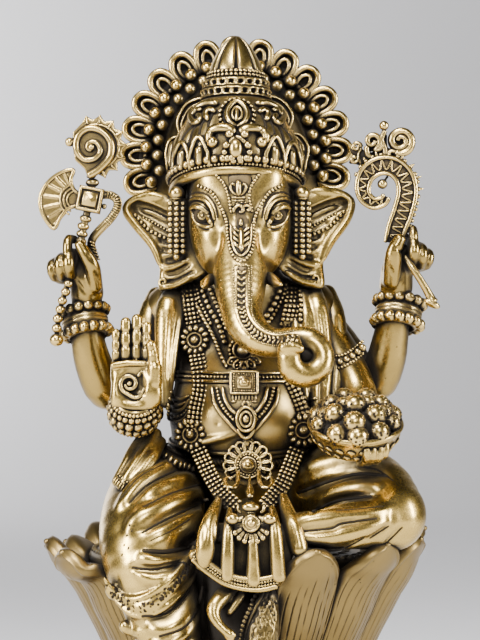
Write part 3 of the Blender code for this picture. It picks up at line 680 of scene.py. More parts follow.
def make_right_leg():
    """The leg that hangs down in front: broad rolls of dhoti drawn in from the knee, a pitted hem band
    and looser folds under it."""
    dark = []
    clay = Clay((-42, -56, 26), (4, 8, 102))
    clay.limb(route((-18, 86, -2, 10), (-20.5, 83, -13, 12.0), (-22.2, 76.5, -24, 12.8),
                    (-22.4, 69, -31, 12.2), (-20.4, 59.5, -34, 10.2), (-17.8, 49, -37, 8.2),
                    (-15, 40, -40, 6.2), (-13.8, 36, -41, 5.2)),
              blend=2, spacing=3)
    surface = clay_surface(clay)
    for roll, width, sink in [
        ([(-14, 92.4), (-20, 90.4), (-26, 86.2), (-30.6, 80.2)], 2.6, 1.2),
        ([(-11.4, 88.4), (-18.8, 86.1), (-24.1, 82.8)], 2.0, 0.7),
        ([(-9.6, 84.8), (-17.4, 81.8), (-24.1, 78.7), (-28.2, 74.7)], 3.0, 1.3),
        ([(-9.6, 79.9), (-15.7, 75.9), (-22.4, 72.7)], (4.2, 2.8), 2.1),
        ([(-12.6, 70.2), (-19.4, 67.4), (-24.8, 68.3)], 2.3, 0.9),
        ([(-16.4, 64.2), (-21.4, 62.7), (-25.8, 64.6)], 2.0, 0.8),
    ]:
        groove(clay, surface, roll, width=width, sink=sink, blend=0.9, raised=True)
    surface = clay_surface(clay)
    for crease, width in [
        ([(-14.6, 90.6), (-23.1, 86.3), (-27.8, 81.6)], 0.9),
        ([(-10.0, 86.4), (-17.4, 84.1), (-24.2, 80.8)], 0.8),
        ([(-8.2, 82.6), (-14.7, 79.4), (-18.8, 77.5), (-24.6, 74.2)], (1.3, 0.7)),
        ([(-8.2, 72.8), (-14.1, 70.4), (-18.8, 69.5), (-24.4, 69.8)], (2.6, 0.8)),
        ([(-13.8, 66.9), (-21.4, 65.2), (-27, 65.6)], 1.0),
        ([(-19.4, 91.4), (-25.2, 88.2), (-30.2, 82.6)], 0.5),
        ([(-12.6, 77.6), (-17.6, 74.6), (-22.6, 72.2)], 0.4),
    ]:
        groove(clay, surface, crease, width=width, sink=0.2, blend=0.7)
        dark.append((crease, width))
    for crease in [
        [(-24.6, 53.4), (-18.8, 54.0), (-14.7, 57.3), (-11.8, 61.6)],
        [(-20.2, 48.4), (-14.1, 50.6), (-10.7, 55.3), (-9.2, 61)],
        [(-22.4, 44.8), (-16.6, 45.0), (-12.4, 48.4)],
        [(-20.4, 40.6), (-15.4, 40.4), (-11.4, 43.2)],
    ]:
        groove(clay, surface, crease, width=1.2, sink=0.2, blend=0.8)
        dark.append((crease, 1.0))
    for roll in [
        [(-23.1, 50.4), (-18.8, 49.9), (-14.1, 52.6), (-10.7, 57.6)],
        [(-22.6, 46.6), (-17.4, 46.8), (-12.7, 50.2), (-10, 55)],
        [(-20.8, 42.4), (-15.8, 42.4), (-11.6, 45.4)],
        [(-29.6, 51.4), (-27.2, 49.8), (-24.4, 49.4)],
    ]:
        groove(clay, surface, roll, width=1.6, sink=0.6, blend=0.9, raised=True)
    upper = [(-34.0, 63.0), (-31.5, 59.7), (-28.5, 58), (-24.8, 58), (-20.8, 60), (-16.7, 63.4),
             (-13.4, 67.4), (-11.1, 71.1), (-9.2, 74)]
    lower = [(-31.6, 58.2), (-27.5, 54.3), (-24.1, 53.6), (-20.1, 55), (-16.1, 58), (-12.7, 62),
             (-10.2, 66.2)]
    surface = clay_surface(clay)
    band = [(-33.0, 60.6), (-29.6, 57.2), (-26.2, 55.8), (-22.4, 56.4), (-18.4, 59.4), (-14.6, 63.4),
            (-11.6, 67.8), (-9.6, 71.6)]
    groove(clay, surface, band, width=2.2, sink=1.0, blend=0.6, raised=True)
    surface = clay_surface(clay)
    clay.soften()
    for edge in (upper, lower):
        groove(clay, surface, edge, width=0.8, sink=-0.1, blend=0.3, raised=True)
    stock = Stock()
    stock.clay(clay)
    surface = stock.surface()
    shadow = Stock()
    lay_creases(shadow, surface, dark)
    lay_hem_pits(shadow, surface, band)
    shadow.make("right_leg_creases", PAINTED_SHADE, "cast_brass")
    stock.make("right_leg_dhoti", CLOTH, "cast_brass", "right_leg")
    return surface


def make_left_leg():
    """The leg folded across the lotus: thigh above, shin below, with folds drawn towards the knee."""
    dark = []
    clay = Clay((0, -54, 62), (52, 8, 104))
    clay.limb(route((18, 85, -3, 10.5), (25, 86.0, -13, 12.0), (33, 83.5, -22.5, 10.6),
                    (37.4, 79.6, -28, 8.8)),
              blend=3, spacing=3)
    clay.limb(route((38.0, 77.8, -30, 7.8), (31, 76.4, -35, 6.2), (23, 75.4, -38.5, 5.2),
                    (14.5, 75.0, -40.5, 4.4)),
              blend=2.5, spacing=3)
    surface = clay_surface(clay)
    for roll, width in [
        ([(14.6, 89.4), (22, 92.2), (29, 93.0), (34.6, 91.6)], 2.2),
        ([(19.2, 80.6), (24.1, 84.3), (29.2, 85.6), (35, 86.0)], 2.1),
        ([(21.6, 80.0), (28, 81.3), (36, 81.8)], 0.9),
        ([(15.0, 77.6), (21.6, 78.5), (29.2, 79), (36.9, 80.2)], 2.0),
        ([(15.4, 72.9), (24.1, 73.6), (30.5, 75.3), (36.6, 77.4)], 2.0),
    ]:
        groove(clay, surface, roll, width=width * 1.15, sink=width * 0.45, blend=0.9, raised=True)
    surface = clay_surface(clay)
    for crease, width in [
        ([(14.4, 84.2), (22.9, 87.4), (29.9, 89.0), (36.6, 88.6)], (1.7, 0.8)),
        ([(18.2, 79.4), (24.1, 82.2), (33.1, 83.5)], 1.1),
        ([(24.1, 79.9), (29.9, 80.3), (36, 81.0)], 0.45),
        ([(15.0, 74.6), (22.9, 75.4), (25.4, 76.6), (34.2, 77.9)], (1.1, 0.6)),
        ([(16.4, 70.8), (22.9, 69.9), (26.4, 70.6), (31, 73)], 0.7),
        ([(32.4, 72.9), (37.2, 76.0)], 0.7),
        ([(36.5, 71.6), (40.6, 75.7)], 0.7),
        ([(30.2, 90.9), (34.6, 89.9), (38.2, 87.4)], 0.5),
    ]:
        groove(clay, surface, crease, width=width, sink=0.2, blend=0.8)
        dark.append((crease, width))
    clay.soften()
    stock = Stock()
    stock.clay(clay)
    shadow = Stock()
    lay_creases(shadow, stock.surface(), dark)
    shadow.make("left_leg_creases", PAINTED_SHADE, "cast_brass")
    stock.make("left_leg_dhoti", CLOTH, "cast_brass", "left_leg")
    return stock.surface()


def make_feet():
    for name, centre, toe, node in (
        ("right_foot_sole", (-13.6, 36.0, -42), (-14.6, 33.4, -47.5), "right_foot"),
        ("left_foot_sole", (6.5, 75, -40.5), (-3, 73.4, -41.5), "left_foot"),
    ):
        heel, ball_of_foot = seen(*centre), seen(*toe)
        clay = Clay(np.minimum(heel, ball_of_foot) - 8, np.maximum(heel, ball_of_foot) + 8, cell=0.35,
                    reach=2.5)
        clay.limb([(*heel, 3.4), (*((heel + ball_of_foot) / 2), 3.2), (*ball_of_foot, 2.6)], blend=2)
        ahead = (ball_of_foot - heel) / np.linalg.norm(ball_of_foot - heel)
        across = np.cross(ahead, (0, 0, 1))
        across /= np.linalg.norm(across)
        for i in range(5):
            root = ball_of_foot + across * (i - 2) * 1.25 - ahead * 0.5
            tip = root + ahead * (3.2 - 0.35 * abs(i - 1))
            clay.limb([(*root, 0.9), (*tip, 0.72 if i else 0.95)], blend=0.5)
        stock = Stock()
        stock.clay(clay)
        stock.make(name, SKIN, "cast_brass", node)


# ---------------------------------------------------------------- head

def mirror(uv, about=0.0):
    return [(2 * about - u, v, *rest) for u, v, *rest in uv]


def both(uv, about=0.0):
    return [uv, mirror(uv, about)]


TRUNK = [
    (0, 147, -15.5, 6.6), (0.1, 140.5, -18, 6.9), (0.1, 135.5, -21, 6.3), (0.3, 131, -24, 5.3),
    (1.4, 126.6, -27, 4.9), (4.4, 123.2, -29.5, 4.4), (8.6, 121.8, -31, 3.7), (13, 122.3, -32, 3.5),
    (17.6, 122.3, -33, 3.4), (20.5, 119.3, -34, 3.0), (20.1, 115.7, -35, 3.0), (16.8, 113.7, -36, 3.2),
    (13.3, 114.9, -37, 3.3), (12.3, 118.0, -37.5, 3.0), (12.3, 120.4, -37.8, 2.8),
]


EYE_U, EYE_V = 9.4, 153.6


def head_clay():
    clay = Clay((-20, -46, 106), (30, 14, 176), cell=0.4)
    clay.ball((0, -5, 158), (13.4, 14.5, 14.5), blend=2)
    clay.ball((0, -6, 152), (12.4, 13.5, 12), blend=3)
    for side in (-1, 1):
        clay.ball(seen(side * 6.3, 147.6, -10), (5.6, 8.6, 9.4), (0, 10 * side, 0), blend=2.5)
        clay.ball(seen(side * 8.6, 153.6, -13.6), (3.2, 3.0, 2.6), blend=1.5)
        clay.ball(seen(side * 5.6, 163, -13), (5.5, 4.5, 5), blend=2.5)
    clay.limb(route(*TRUNK), blend=1.6, spacing=1.5)
    clay.limb(route((12.3, 120.2, -37.6, 2.8), (12.4, 121.2, -37.9, 3.0)), blend=0.6)
    for u in (10.6, 14.2):
        clay.ball(seen(u, 121.8, -38.2), (0.9, 1.3, 0.7), blend=0.5)
    clay.ball(seen(12.4, 122.3, -38), (1.3, 1.1, 1.0), blend=0.5, cut=True)
    clay.limb(route((11.0, 120.6, -39.4, 1.2), (13.2, 120.9, -39.8, 1.35), (15.0, 120.3, -39.4, 1.1)),
              blend=0.5)
    clay.ball(seen(16.5, 118.6, -36), (1.5, 5.0, 1.5), blend=0.4, cut=True)
    clay.limb(route((10.2, 119.0, -39.8, 0.35), (12.6, 118.3, -41.4, 0.5), (15.2, 118.6, -40.6, 0.5)),
              blend=0.3, cut=True)
    surface = clay_surface(clay)
    channel = [(0.35, 141), (0.35, 135), (0.4, 130), (1.8, 126.4), (4.6, 123.7), (8.4, 122.5), (12.4, 122.9)]
    groove(clay, surface, channel, width=1.9, sink=1.35, blend=0.3, default=-22)
    plate = [(0.0, 162.5), (0.1, 157), (0.2, 151), (0.3, 145)]
    groove(clay, surface, plate, width=3.2, sink=2.75, blend=0.3, default=-18)
    for crease in both([(-5.2, 148.4), (-5.6, 145.2), (-6.6, 142.4), (-7.5, 139.6)]):
        groove(clay, surface, crease, width=0.9, sink=0.3, blend=1.6, default=-16)
    for brow in both([(-12.4, 158.2), (-9.6, 159.0), (-7.2, 157.6), (-5.5, 154.6), (-5.0, 151.6)]):
        groove(clay, surface, brow, width=1.3, sink=0.45, blend=1.0, raised=True, default=-16)
    for side in (-1, 1):
        point, normal = hit([surface], side * EYE_U, EYE_V, -18)
        clay.ball(point + normal * 0.3, (2.5, 1.3, 2.6), (0, -35 * side, 0), blend=0.8, cut=True)
    surface = clay_surface(clay)
    for side in (-1, 1):
        point, normal = hit([surface], side * EYE_U, EYE_V - 0.1, -18)
        clay.ball(point - normal * 0.5, (1.75, 1.3, 1.75), blend=0.1)
    for bag in both([(-11.2, 152.0), (-9.6, 150.5), (-7.4, 150.2)]):
        groove(clay, surface, bag, width=0.4, sink=0.0, blend=0.5, default=-16)
    return clay


def spiral(centre, radius, start, sweep, shrink=0.85, count=14):
    """Points (u, v) that curl inwards from a radius, through so many degrees from a start angle."""
    points = []
    for i in range(count):
        t = i / (count - 1)
        angle = math.radians(start + sweep * t)
        reach = radius * (1 - shrink * t)
        points.append((centre[0] + reach * math.cos(angle), centre[1] + reach * math.sin(angle)))
    return points


def lay_tube(stock, surfaces, uv, radius, lift=0.1, ends=0.5, default=0.0):
    """A rim or scroll along (u, v) points, thinner at both ends."""
    rows, _ = draped(surfaces, uv, 0.45, lift, default=default)
    stock.tube(with_radius(rows, taper(len(rows), radius, ends)), sides=7)


def lay_beads(stock, surfaces, uv, radius, pitch, lift=0.0, closed=False, default=0.0):
    """A row of beads along (u, v) points."""
    rows, _ = draped(surfaces, uv, pitch, lift, closed, default)
    stock.beads(rows, radius)


def make_face_ornament(face):
    """The chased plate on the forehead and the strip that runs down the trunk."""
    stock = Stock()
    on = dict(default=-18)
    outer = [(-10.2, 161), (-7, 159.2), (-4.6, 155.2), (-3.3, 151.8), (-2.9, 147.8), (-1.9, 144), (0.2, 142),
             (2.5, 144), (3.4, 147.8), (3.4, 151.8), (4.7, 155.2), (7.1, 159), (10.2, 161.2)]
    lay_beads(stock, [face], outer, 0.46, 0.86, 0.22, **on)
    for line in ([(-5.8, 163.6), (-3.8, 161.2), (-2.8, 158.2), (-2.2, 154.6)],
                 [(4.6, 163.6), (2.8, 161), (2.3, 158.2), (2.9, 154.8)]):
        lay_beads(stock, [face], line, 0.42, 0.8, 0.22, **on)
    inner = [(-2.3, 151.5), (-2.1, 147.8), (-1.3, 144.9), (0.2, 143.4), (1.9, 144.9), (2.7, 147.8),
             (2.8, 151.5)]
    lay_tube(stock, [face], inner, 0.30, lift=0.2, **on)
    middle = 0.1
    lay_tube(stock, [face], [(middle - 0.5, 158.4), (middle - 0.5, 162.4)], 0.75, ends=0.1, lift=0.5, **on)
    lay_tube(stock, [face], [(middle - 2.2, 158.1), (middle + 1.4, 158.1)], 0.30, **on)
    lay_tube(stock, [face], [(middle - 1.9, 157.3), (middle + 1.1, 157.3)], 0.24, **on)
    for curl in both([(-0.6, 158.6), (-1.8, 159.4), (-2.3, 160.8), (-1.7, 161.5), (-1.2, 160.9)],
                     middle - 0.5):
        lay_tube(stock, [face], curl, 0.36, lift=0.3, **on)
    lay_tube(stock, [face], spiral((0.0, 154.9), 1.7, 200, -330), 0.44, lift=0.4, **on)
    lay_tube(stock, [face], spiral((1.9, 155.2), 1.1, 160, -300), 0.36, lift=0.4, **on)
    lay_beads(stock, [face], [(-1.6, 156.2), (0.4, 156.8), (2.4, 156.6)], 0.3, 0.95, **on)
    lay_tube(stock, [face], [(0.2, 152.8), (0.25, 150.6)], 0.55, ends=0.1, lift=0.5, **on)
    lay_tube(stock, [face], [(0.25, 150.4), (0.3, 147.4), (0.3, 144.4)], 0.72, ends=0.05, lift=0.5, **on)
    for i in range(4):
        v = 146.2 + 1.25 * i
        frond = [(-0.1, v - 0.8), (-1.0, v), (-1.7, v + 1.0)]
        for side in both(frond, 0.28):
            lay_tube(stock, [face], side, 0.36, lift=0.3, **on)
    edge = [(-1.5, 140.9), (0.3, 141.0), (2.1, 140.9), (2.2, 136), (2.15, 131), (0.5, 129.3), (-1.0, 131),
            (-1.45, 136)]
    lay_beads(stock, [face], edge, 0.30, 0.66, closed=True, default=-22)
    for i in range(7):
        v = 139.6 - 1.5 * i
        for arm in both([(0.4, v - 0.75), (-0.65, v + 0.15)], 0.4):
            lay_tube(stock, [face], arm, 0.34, ends=0.7, lift=0.22, default=-22)
    spine = smooth_path([(0.7, 129.4), (1.9, 126.4), (4.6, 123.7), (8.4, 122.5), (12.6, 122.9),
                         (15.2, 123.0)], 1.15)
    for point, ahead in zip(spine[:-1], np.diff(spine, axis=0)):
        ahead = ahead / np.linalg.norm(ahead)
        across = np.array([-ahead[1], ahead[0]])
        for side in (-1, 1):
            arm = [point + ahead * 0.5, point - ahead * 0.3 + across * side * 0.9]
            lay_tube(stock, [face], arm, 0.33, ends=0.7, lift=0.22, default=-26)
    rope = [(2.9, 141), (2.9, 135), (2.9, 130), (3.8, 127.4), (6.0, 125.2), (9.4, 124.2), (13.4, 124.8)]
    lay_beads(stock, [face], rope, 0.24, 0.5, default=-22)
    lower = [(0.2, 128.6), (1.4, 125.2), (4.2, 122.4), (8.2, 121.2), (12.2, 121.4)]
    lay_beads(stock, [face], lower, 0.24, 0.5, default=-26)
    stock.make("face_ornament", CHASED, "cast_brass")


def make_ornament_ground(face):
    """Painted shade: darker brass laid flat in the sunk ground under the forehead plate and the trunk strip.
    """
    ground = Stock()
    for line, wide in (([(0.0, 163.4), (0.05, 160), (0.05, 156.5)], (2.9, 2.2)),
                       ([(0.05, 157), (0.2, 150.5), (0.3, 144.6)], (2.3, 1.5)),
                       ([(0.35, 140.6), (0.35, 135), (0.45, 130), (1.8, 126.4), (4.6, 123.7), (8.4, 122.5),
                         (12.0, 122.8)],
                        (1.3, 1.2))):
        rows, _ = draped([face], line, 0.6, 0.0, default=-20)
        ground.tube(with_radius(rows, np.linspace(wide[0], wide[1], len(rows))), sides=14,
                    normal=(0, -1, 0.1), flat=0.1)
    ground.make("face_ornament_ground", SUNK_SHADE, "cast_brass")


def make_trunk_shadows(face):
    """The dark lines inside both edges of the trunk strip, and the dark hollow inside the trunk's curl."""
    strip = Stock()
    for aside in (-0.75, 0.75):
        line = [(0.35 + aside, 140.4), (0.35 + aside, 135), (0.45 + aside, 130),
                (1.8 + aside, 126.6 + 0.4 * aside), (4.6 + 0.6 * aside, 123.7 + 0.8 * aside),
                (8.4, 122.5 + aside), (12.0, 122.8 + aside)]
        lay_tube(strip, [face], line, 0.34, lift=0.0, default=-20)
    strip.make("trunk_strip_shadow", PAINTED_SHADE, "cast_brass")
    hole = Stock()
    hole.beads([seen(16.5, 118.6, -34.4)], 1.8, fine=True, stretch=(1.1, 0.6, 1.1))
    hole.make("trunk_curl_hollow", PAINTED_SHADE, "cast_brass")


def make_eyes(face):
    """The eyes with their lids, hoods and brows."""
    eyes = Stock()
    for side in (-1, 1):
        point, normal = hit([face], side * EYE_U, EYE_V, -18)
        eyes.turned([(1.05, -0.1), (1.12, 0.2), (0.9, 0.3), (0.62, 0.05), (0.42, 0.05), (0.3, 0.3),
                     (0, 0.36)],
                    point, facing(normal), steps=20)
    on = dict(default=-16, lift=0.15)
    for lid in both([(-12.1, 156.0), (-10.8, 156.6), (-9.0, 156.2), (-7.6, 154.4), (-6.9, 151.0)]):
        lay_tube(eyes, [face], lid, 0.52, ends=0.6, **on)
    for lid in both([(-12.0, 155.8), (-11.7, 153.6), (-10.4, 151.6), (-8.6, 150.8), (-6.8, 151.0)]):
        lay_tube(eyes, [face], lid, 0.46, ends=0.6, **on)
    for hood in both([(-12.0, 155.0), (-11.0, 155.6), (-9.4, 155.3), (-8.0, 153.9), (-7.1, 151.6)]):
        lay_tube(eyes, [face], hood, 0.72, ends=0.6, default=-16, lift=0.5)
    for brow in both([(-12.6, 157.2), (-10.8, 158.0), (-8.6, 157.4), (-7.0, 155.4), (-6.2, 152.6)]):
        lay_tube(eyes, [face], brow, 0.5, ends=0.6, **on)
    eyes.make("eyes_and_lids", SKIN, "cast_brass")


def make_eye_shadows(face):
    """The dark lines round the eyes and between the lids and the brows."""
    shadow = Stock()
    on = dict(default=-16, lift=-0.02)
    for side in (-1, 1):
        point, normal = hit([face], side * EYE_U, EYE_V, -18)
        shadow.turned([(2.1, -0.3), (1.7, 0.05), (1.3, 0.12), (1.0, 0.12), (0.9, -0.2)], point,
                      facing(normal), steps=24)
    for line in ([(-11.4, 154.3), (-10.6, 154.8), (-9.3, 154.5), (-8.3, 153.3), (-7.5, 151.7)],
                 [(-11.4, 155.0), (-11.0, 153.4), (-9.9, 151.9), (-8.5, 151.3), (-7.1, 151.4)],
                 [(-12.6, 156.6), (-10.9, 157.3), (-8.8, 156.9), (-7.3, 155.0), (-6.5, 152.0)],
                 [(-12.8, 158.6), (-10.6, 159.4), (-8.0, 158.6), (-6.2, 156.0), (-5.5, 153.0)]):
        for lid in both(line):
            lay_tube(shadow, [face], lid, 0.30, ends=0.7, **on)
    shadow.make("eye_shadow_lines", PAINTED_SHADE, "cast_brass")


def make_tusks():
    """Two short tusks, each with a swelling at its middle station."""
    for name, node, stations in (
        ("right_tusk_cone", "right_tusk", [(-7.2, 137.6, -17, 1.5), (-8.6, 136.6, -21.5, 1.2),
                                           (-9.4, 135.8, -24.5, 0.3)]),
        ("left_tusk_cone", "left_tusk", [(7.2, 138, -17, 1.6), (8.8, 137, -22, 1.3),
                                         (10.4, 136.3, -25.5, 0.35)]),
    ):
        tusk = Stock()
        tusk.tube(smooth_path(route(*stations), 0.5), sides=16)
        ring = route(stations[1], stations[1])[0]
        tusk.beads([ring], 1.35, stretch=(1, 0.5, 1))
        tusk.make(name, SKIN, "cast_brass", node)


def make_head():
    stock = Stock()
    stock.clay(head_clay())
    face = stock.surface()
    stock.make("head_and_trunk", SKIN, "cast_brass", "head", "trunk")
    make_face_ornament(face)
    make_ornament_ground(face)
    make_trunk_shadows(face)
    make_eyes(face)
    make_eye_shadows(face)
    make_tusks()


RIGHT_EAR = [
    (-29, 154.6), (-28.3, 156.6), (-25.8, 157.9), (-22.5, 158.6), (-17.8, 157.8), (-12, 157.2), (-9, 150),
    (-7.6, 141.4), (-9.6, 138.4), (-15.2, 135.8), (-19.3, 134.7), (-20.4, 135.6), (-20.2, 141), (-22.2, 146),
    (-26.4, 151),
]
LEFT_EAR = [
    (28.4, 156.2), (27.4, 158), (24.5, 159.2), (20, 159.8), (16.6, 158.8), (12, 157.6), (9, 150),
    (8.4, 142), (10.5, 139.6), (15, 136.2), (19.8, 135.2), (21.2, 136.6), (20.9, 142.2), (23.2, 147),
    (27, 152.2),
]


def ear_depth(x, z):
    return -7.2 + 0.20 * (np.abs(x) - 12) + 0.05 * (z - 150)


def make_ear(name, node, outline, side):
    world = [seen(u, v, -6)[[0, 2]] for u, v in outline]
    low = (min(x for x, _ in world) - 4, -14, 130)
    high = (max(x for x, _ in world) + 4, 3, 166)
    clay = Clay(low, high, cell=0.35, reach=3.0)
    clay.plate(smooth_path(world, 0.8, closed=True), ear_depth, 1.6, soft=1.2, blend=0)
    surface = clay_surface(clay)
    rim = smooth_path([outline[i] for i in (12, 13, 14, 0, 1, 2, 3, 4)], 1.0)
    rim = [(u * 0.975, v) for u, v in rim]
    groove(clay, surface, rim, width=1.15, sink=-0.1, blend=0.5, raised=True, default=-6)

    def at(points):
        return points if side < 0 else [(-u - 0.3, v + 0.9) for u, v in points]

    for hollow, width in (
        (at([(-26.4, 156.0), (-22.5, 154.6), (-18, 152.6), (-15, 151.4)]), 1.9),
        (at([(-22.5, 151.4), (-19, 149.4), (-15, 147.6)]), 0.9),
        (at([(-24.5, 154.4), (-21, 152.6), (-17.4, 150.6), (-14, 149.6)]), 1.3),
    ):
        groove(clay, surface, hollow, width=width, sink=0.1, blend=0.5, default=-6)
    surface = clay_surface(clay)
    groove(clay, surface, at([(-24.6, 154.9), (-21.4, 153.9), (-17.6, 152)]), width=0.7, sink=-0.1, blend=0.3,
           raised=True, default=-6)
    for crease in (
        [(-19.8, 145.6), (-18.4, 144.8), (-16.8, 145.2)],
        [(-19.0, 142.3), (-16.6, 142.4), (-13.6, 143.8)],
        [(-18.4, 139.0), (-16, 139.4), (-12.6, 141.4)],
        [(-18.6, 136.9), (-15.4, 137.4), (-11.6, 139.6)],
        [(-20.4, 148.2), (-19, 147.2), (-16.6, 147.0)],
    ):
        groove(clay, surface, at(crease), width=0.8, sink=-0.1, blend=0.7, default=-6)
    for ridge in (
        [(-19.6, 136.0), (-17.4, 135.9), (-15, 136.8), (-12, 138.6)],
        [(-19.8, 140.6), (-17.4, 140.6), (-13.4, 142.4)],
    ):
        groove(clay, surface, at(ridge), width=0.7, sink=0.0, blend=0.7, raised=True, default=-6)
    stock = Stock()
    stock.clay(clay)
    surface = stock.surface()
    lay_beads(stock, [surface], at([(-26.2, 153.6), (-23, 150.2), (-20, 148.6), (-16.6, 147.4)]), 0.55, 1.2,
              0.1, default=-6)
    lay_beads(stock, [surface], at([(-24.2, 153.0), (-21, 151.4), (-17.4, 149.4)]), 0.4, 0.85, 0.1,
              default=-6)
    curl = at(spiral((-19.0, 137.0), 1.2, 250, -330))
    lay_tube(stock, [surface], curl, 0.4, lift=0.2, default=-6)
    stock.make(name, SKIN, "cast_brass", node)


def make_ears():
    make_ear("right_ear_fan", "right_ear", RIGHT_EAR, -1)
    make_ear("left_ear_fan", "left_ear", LEFT_EAR, 1)


def make_side_strands():
    """The triple strings of beads that hang beside the temples from a round knob."""
    stock = Stock()
    for knob in (-15.8, 15.5):
        centre = seen(knob, 159.2, -11)
        stock.beads([centre], 2.0, fine=True, stretch=(1, 1, 0.9))
        stock.turned([(1.2, -1.6), (1.75, -1.2), (1.2, -0.9)], centre, steps=16)
        for column in (-1.55, 0.0, 1.55):
            for i in range(10):
                bead = seen(knob + column, 156.7 - 1.34 * i, -11 + 0.1 * i - 0.4 * (column == 0.0))
                stock.beads([bead], 0.84, fine=True, stretch=(1, 1, 0.86))
        stock.beads([seen(knob, 143.4, -10)], 0.9, fine=True)
    stock.make("temple_strands", CHASED, "cast_brass")


# ---------------------------------------------------------------- crown

CROWN_AXIS = (-1.0, -3.0)
CROWN_MIDDLE = -0.75


def crown_lean(height):
    return 0.27 - 0.21 * np.clip((height - 160) / 25, 0, 1)


def crown_shape(grid):
    """Leans a turned crown back: its front stands higher than its back, most at the brow."""
    shaped = grid.copy()
    shaped[..., 2] += crown_lean(grid[..., 2]) * -grid[..., 1]
    shaped[..., 0] += CROWN_AXIS[0]
    shaped[..., 1] += CROWN_AXIS[1]
    return shaped


def crown_grid(profile, steps=96, wave=None):
    profile = np.asarray(profile, float)
    angles = np.linspace(0, 2 * math.pi, steps, endpoint=False)
    radius = np.repeat(profile[:, :1], steps, axis=1)
    height = np.repeat(profile[:, 1:], steps, axis=1)
    if wave is not None:
        radius = wave(angles[None, :], radius, height)
    return crown_shape(np.stack([radius * np.cos(angles), radius * np.sin(angles), height], axis=2))


def crown_ring(stock, radius, height, size, count, fine=False, phase=0.0):
    angles = np.linspace(0, 2 * math.pi, count, endpoint=False) + phase
    flat = np.stack([radius * np.cos(angles), radius * np.sin(angles), np.full(count, height)], axis=1)
    stock.beads(crown_shape(flat), size, fine=fine)


def make_brow_band():
    band = Stock()
    band.sheet(crown_grid([(14.6, 161.2), (15.8, 160.9), (16.5, 160.2), (16.7, 159.4), (16.3, 158.6),
                           (15.4, 158.2), (14.8, 158.6), (14.6, 161.2)]), around=True)
    band.make("brow_band", SKIN, "cast_brass", "crown_band")


def dome_lobes(angle, radius, height):
    """Sixteen soft lobes that fade out towards the foot and the top of the dome."""
    lobes = 0.75 * np.abs(np.sin(8 * angle)) ** 0.7 - 0.4
    return radius + lobes * np.clip((176 - height) / 6, 0, 1) * np.clip((height - 163) / 3, 0, 1)


def lay_crown_leaves(dome, profile):
    """The row of leaves round the sides and the back of the dome's foot."""
    for angle in range(0, 360, 18):
        bearing = math.radians(angle + 9)
        if math.sin(bearing) > -0.35:
            leaf = []
            for t in np.linspace(-1, 1, 13):
                width, rise = 2.15 * t, 6.4 * (1 - abs(t) ** 1.8)
                leaf.append((bearing + width / 16, 164.4 + rise))
            leaf = np.array(leaf)
            radius = np.interp(leaf[:, 1], profile[1:, 1], profile[1:, 0]) + 0.45
            flat = np.stack([radius * np.cos(leaf[:, 0]), radius * np.sin(leaf[:, 0]), leaf[:, 1]], axis=1)
            dome.tube(with_radius(crown_shape(flat), 0.52), sides=8)
            core = np.array([(15.9, 165), (16.3, 167), (15.6, 169)])
            spine = np.stack([core[:, 0] * math.cos(bearing), core[:, 0] * math.sin(bearing), core[:, 1]],
                             axis=1)
            dome.tube(with_radius(crown_shape(spine), [0.7, 1.15, 0.4]), sides=8)


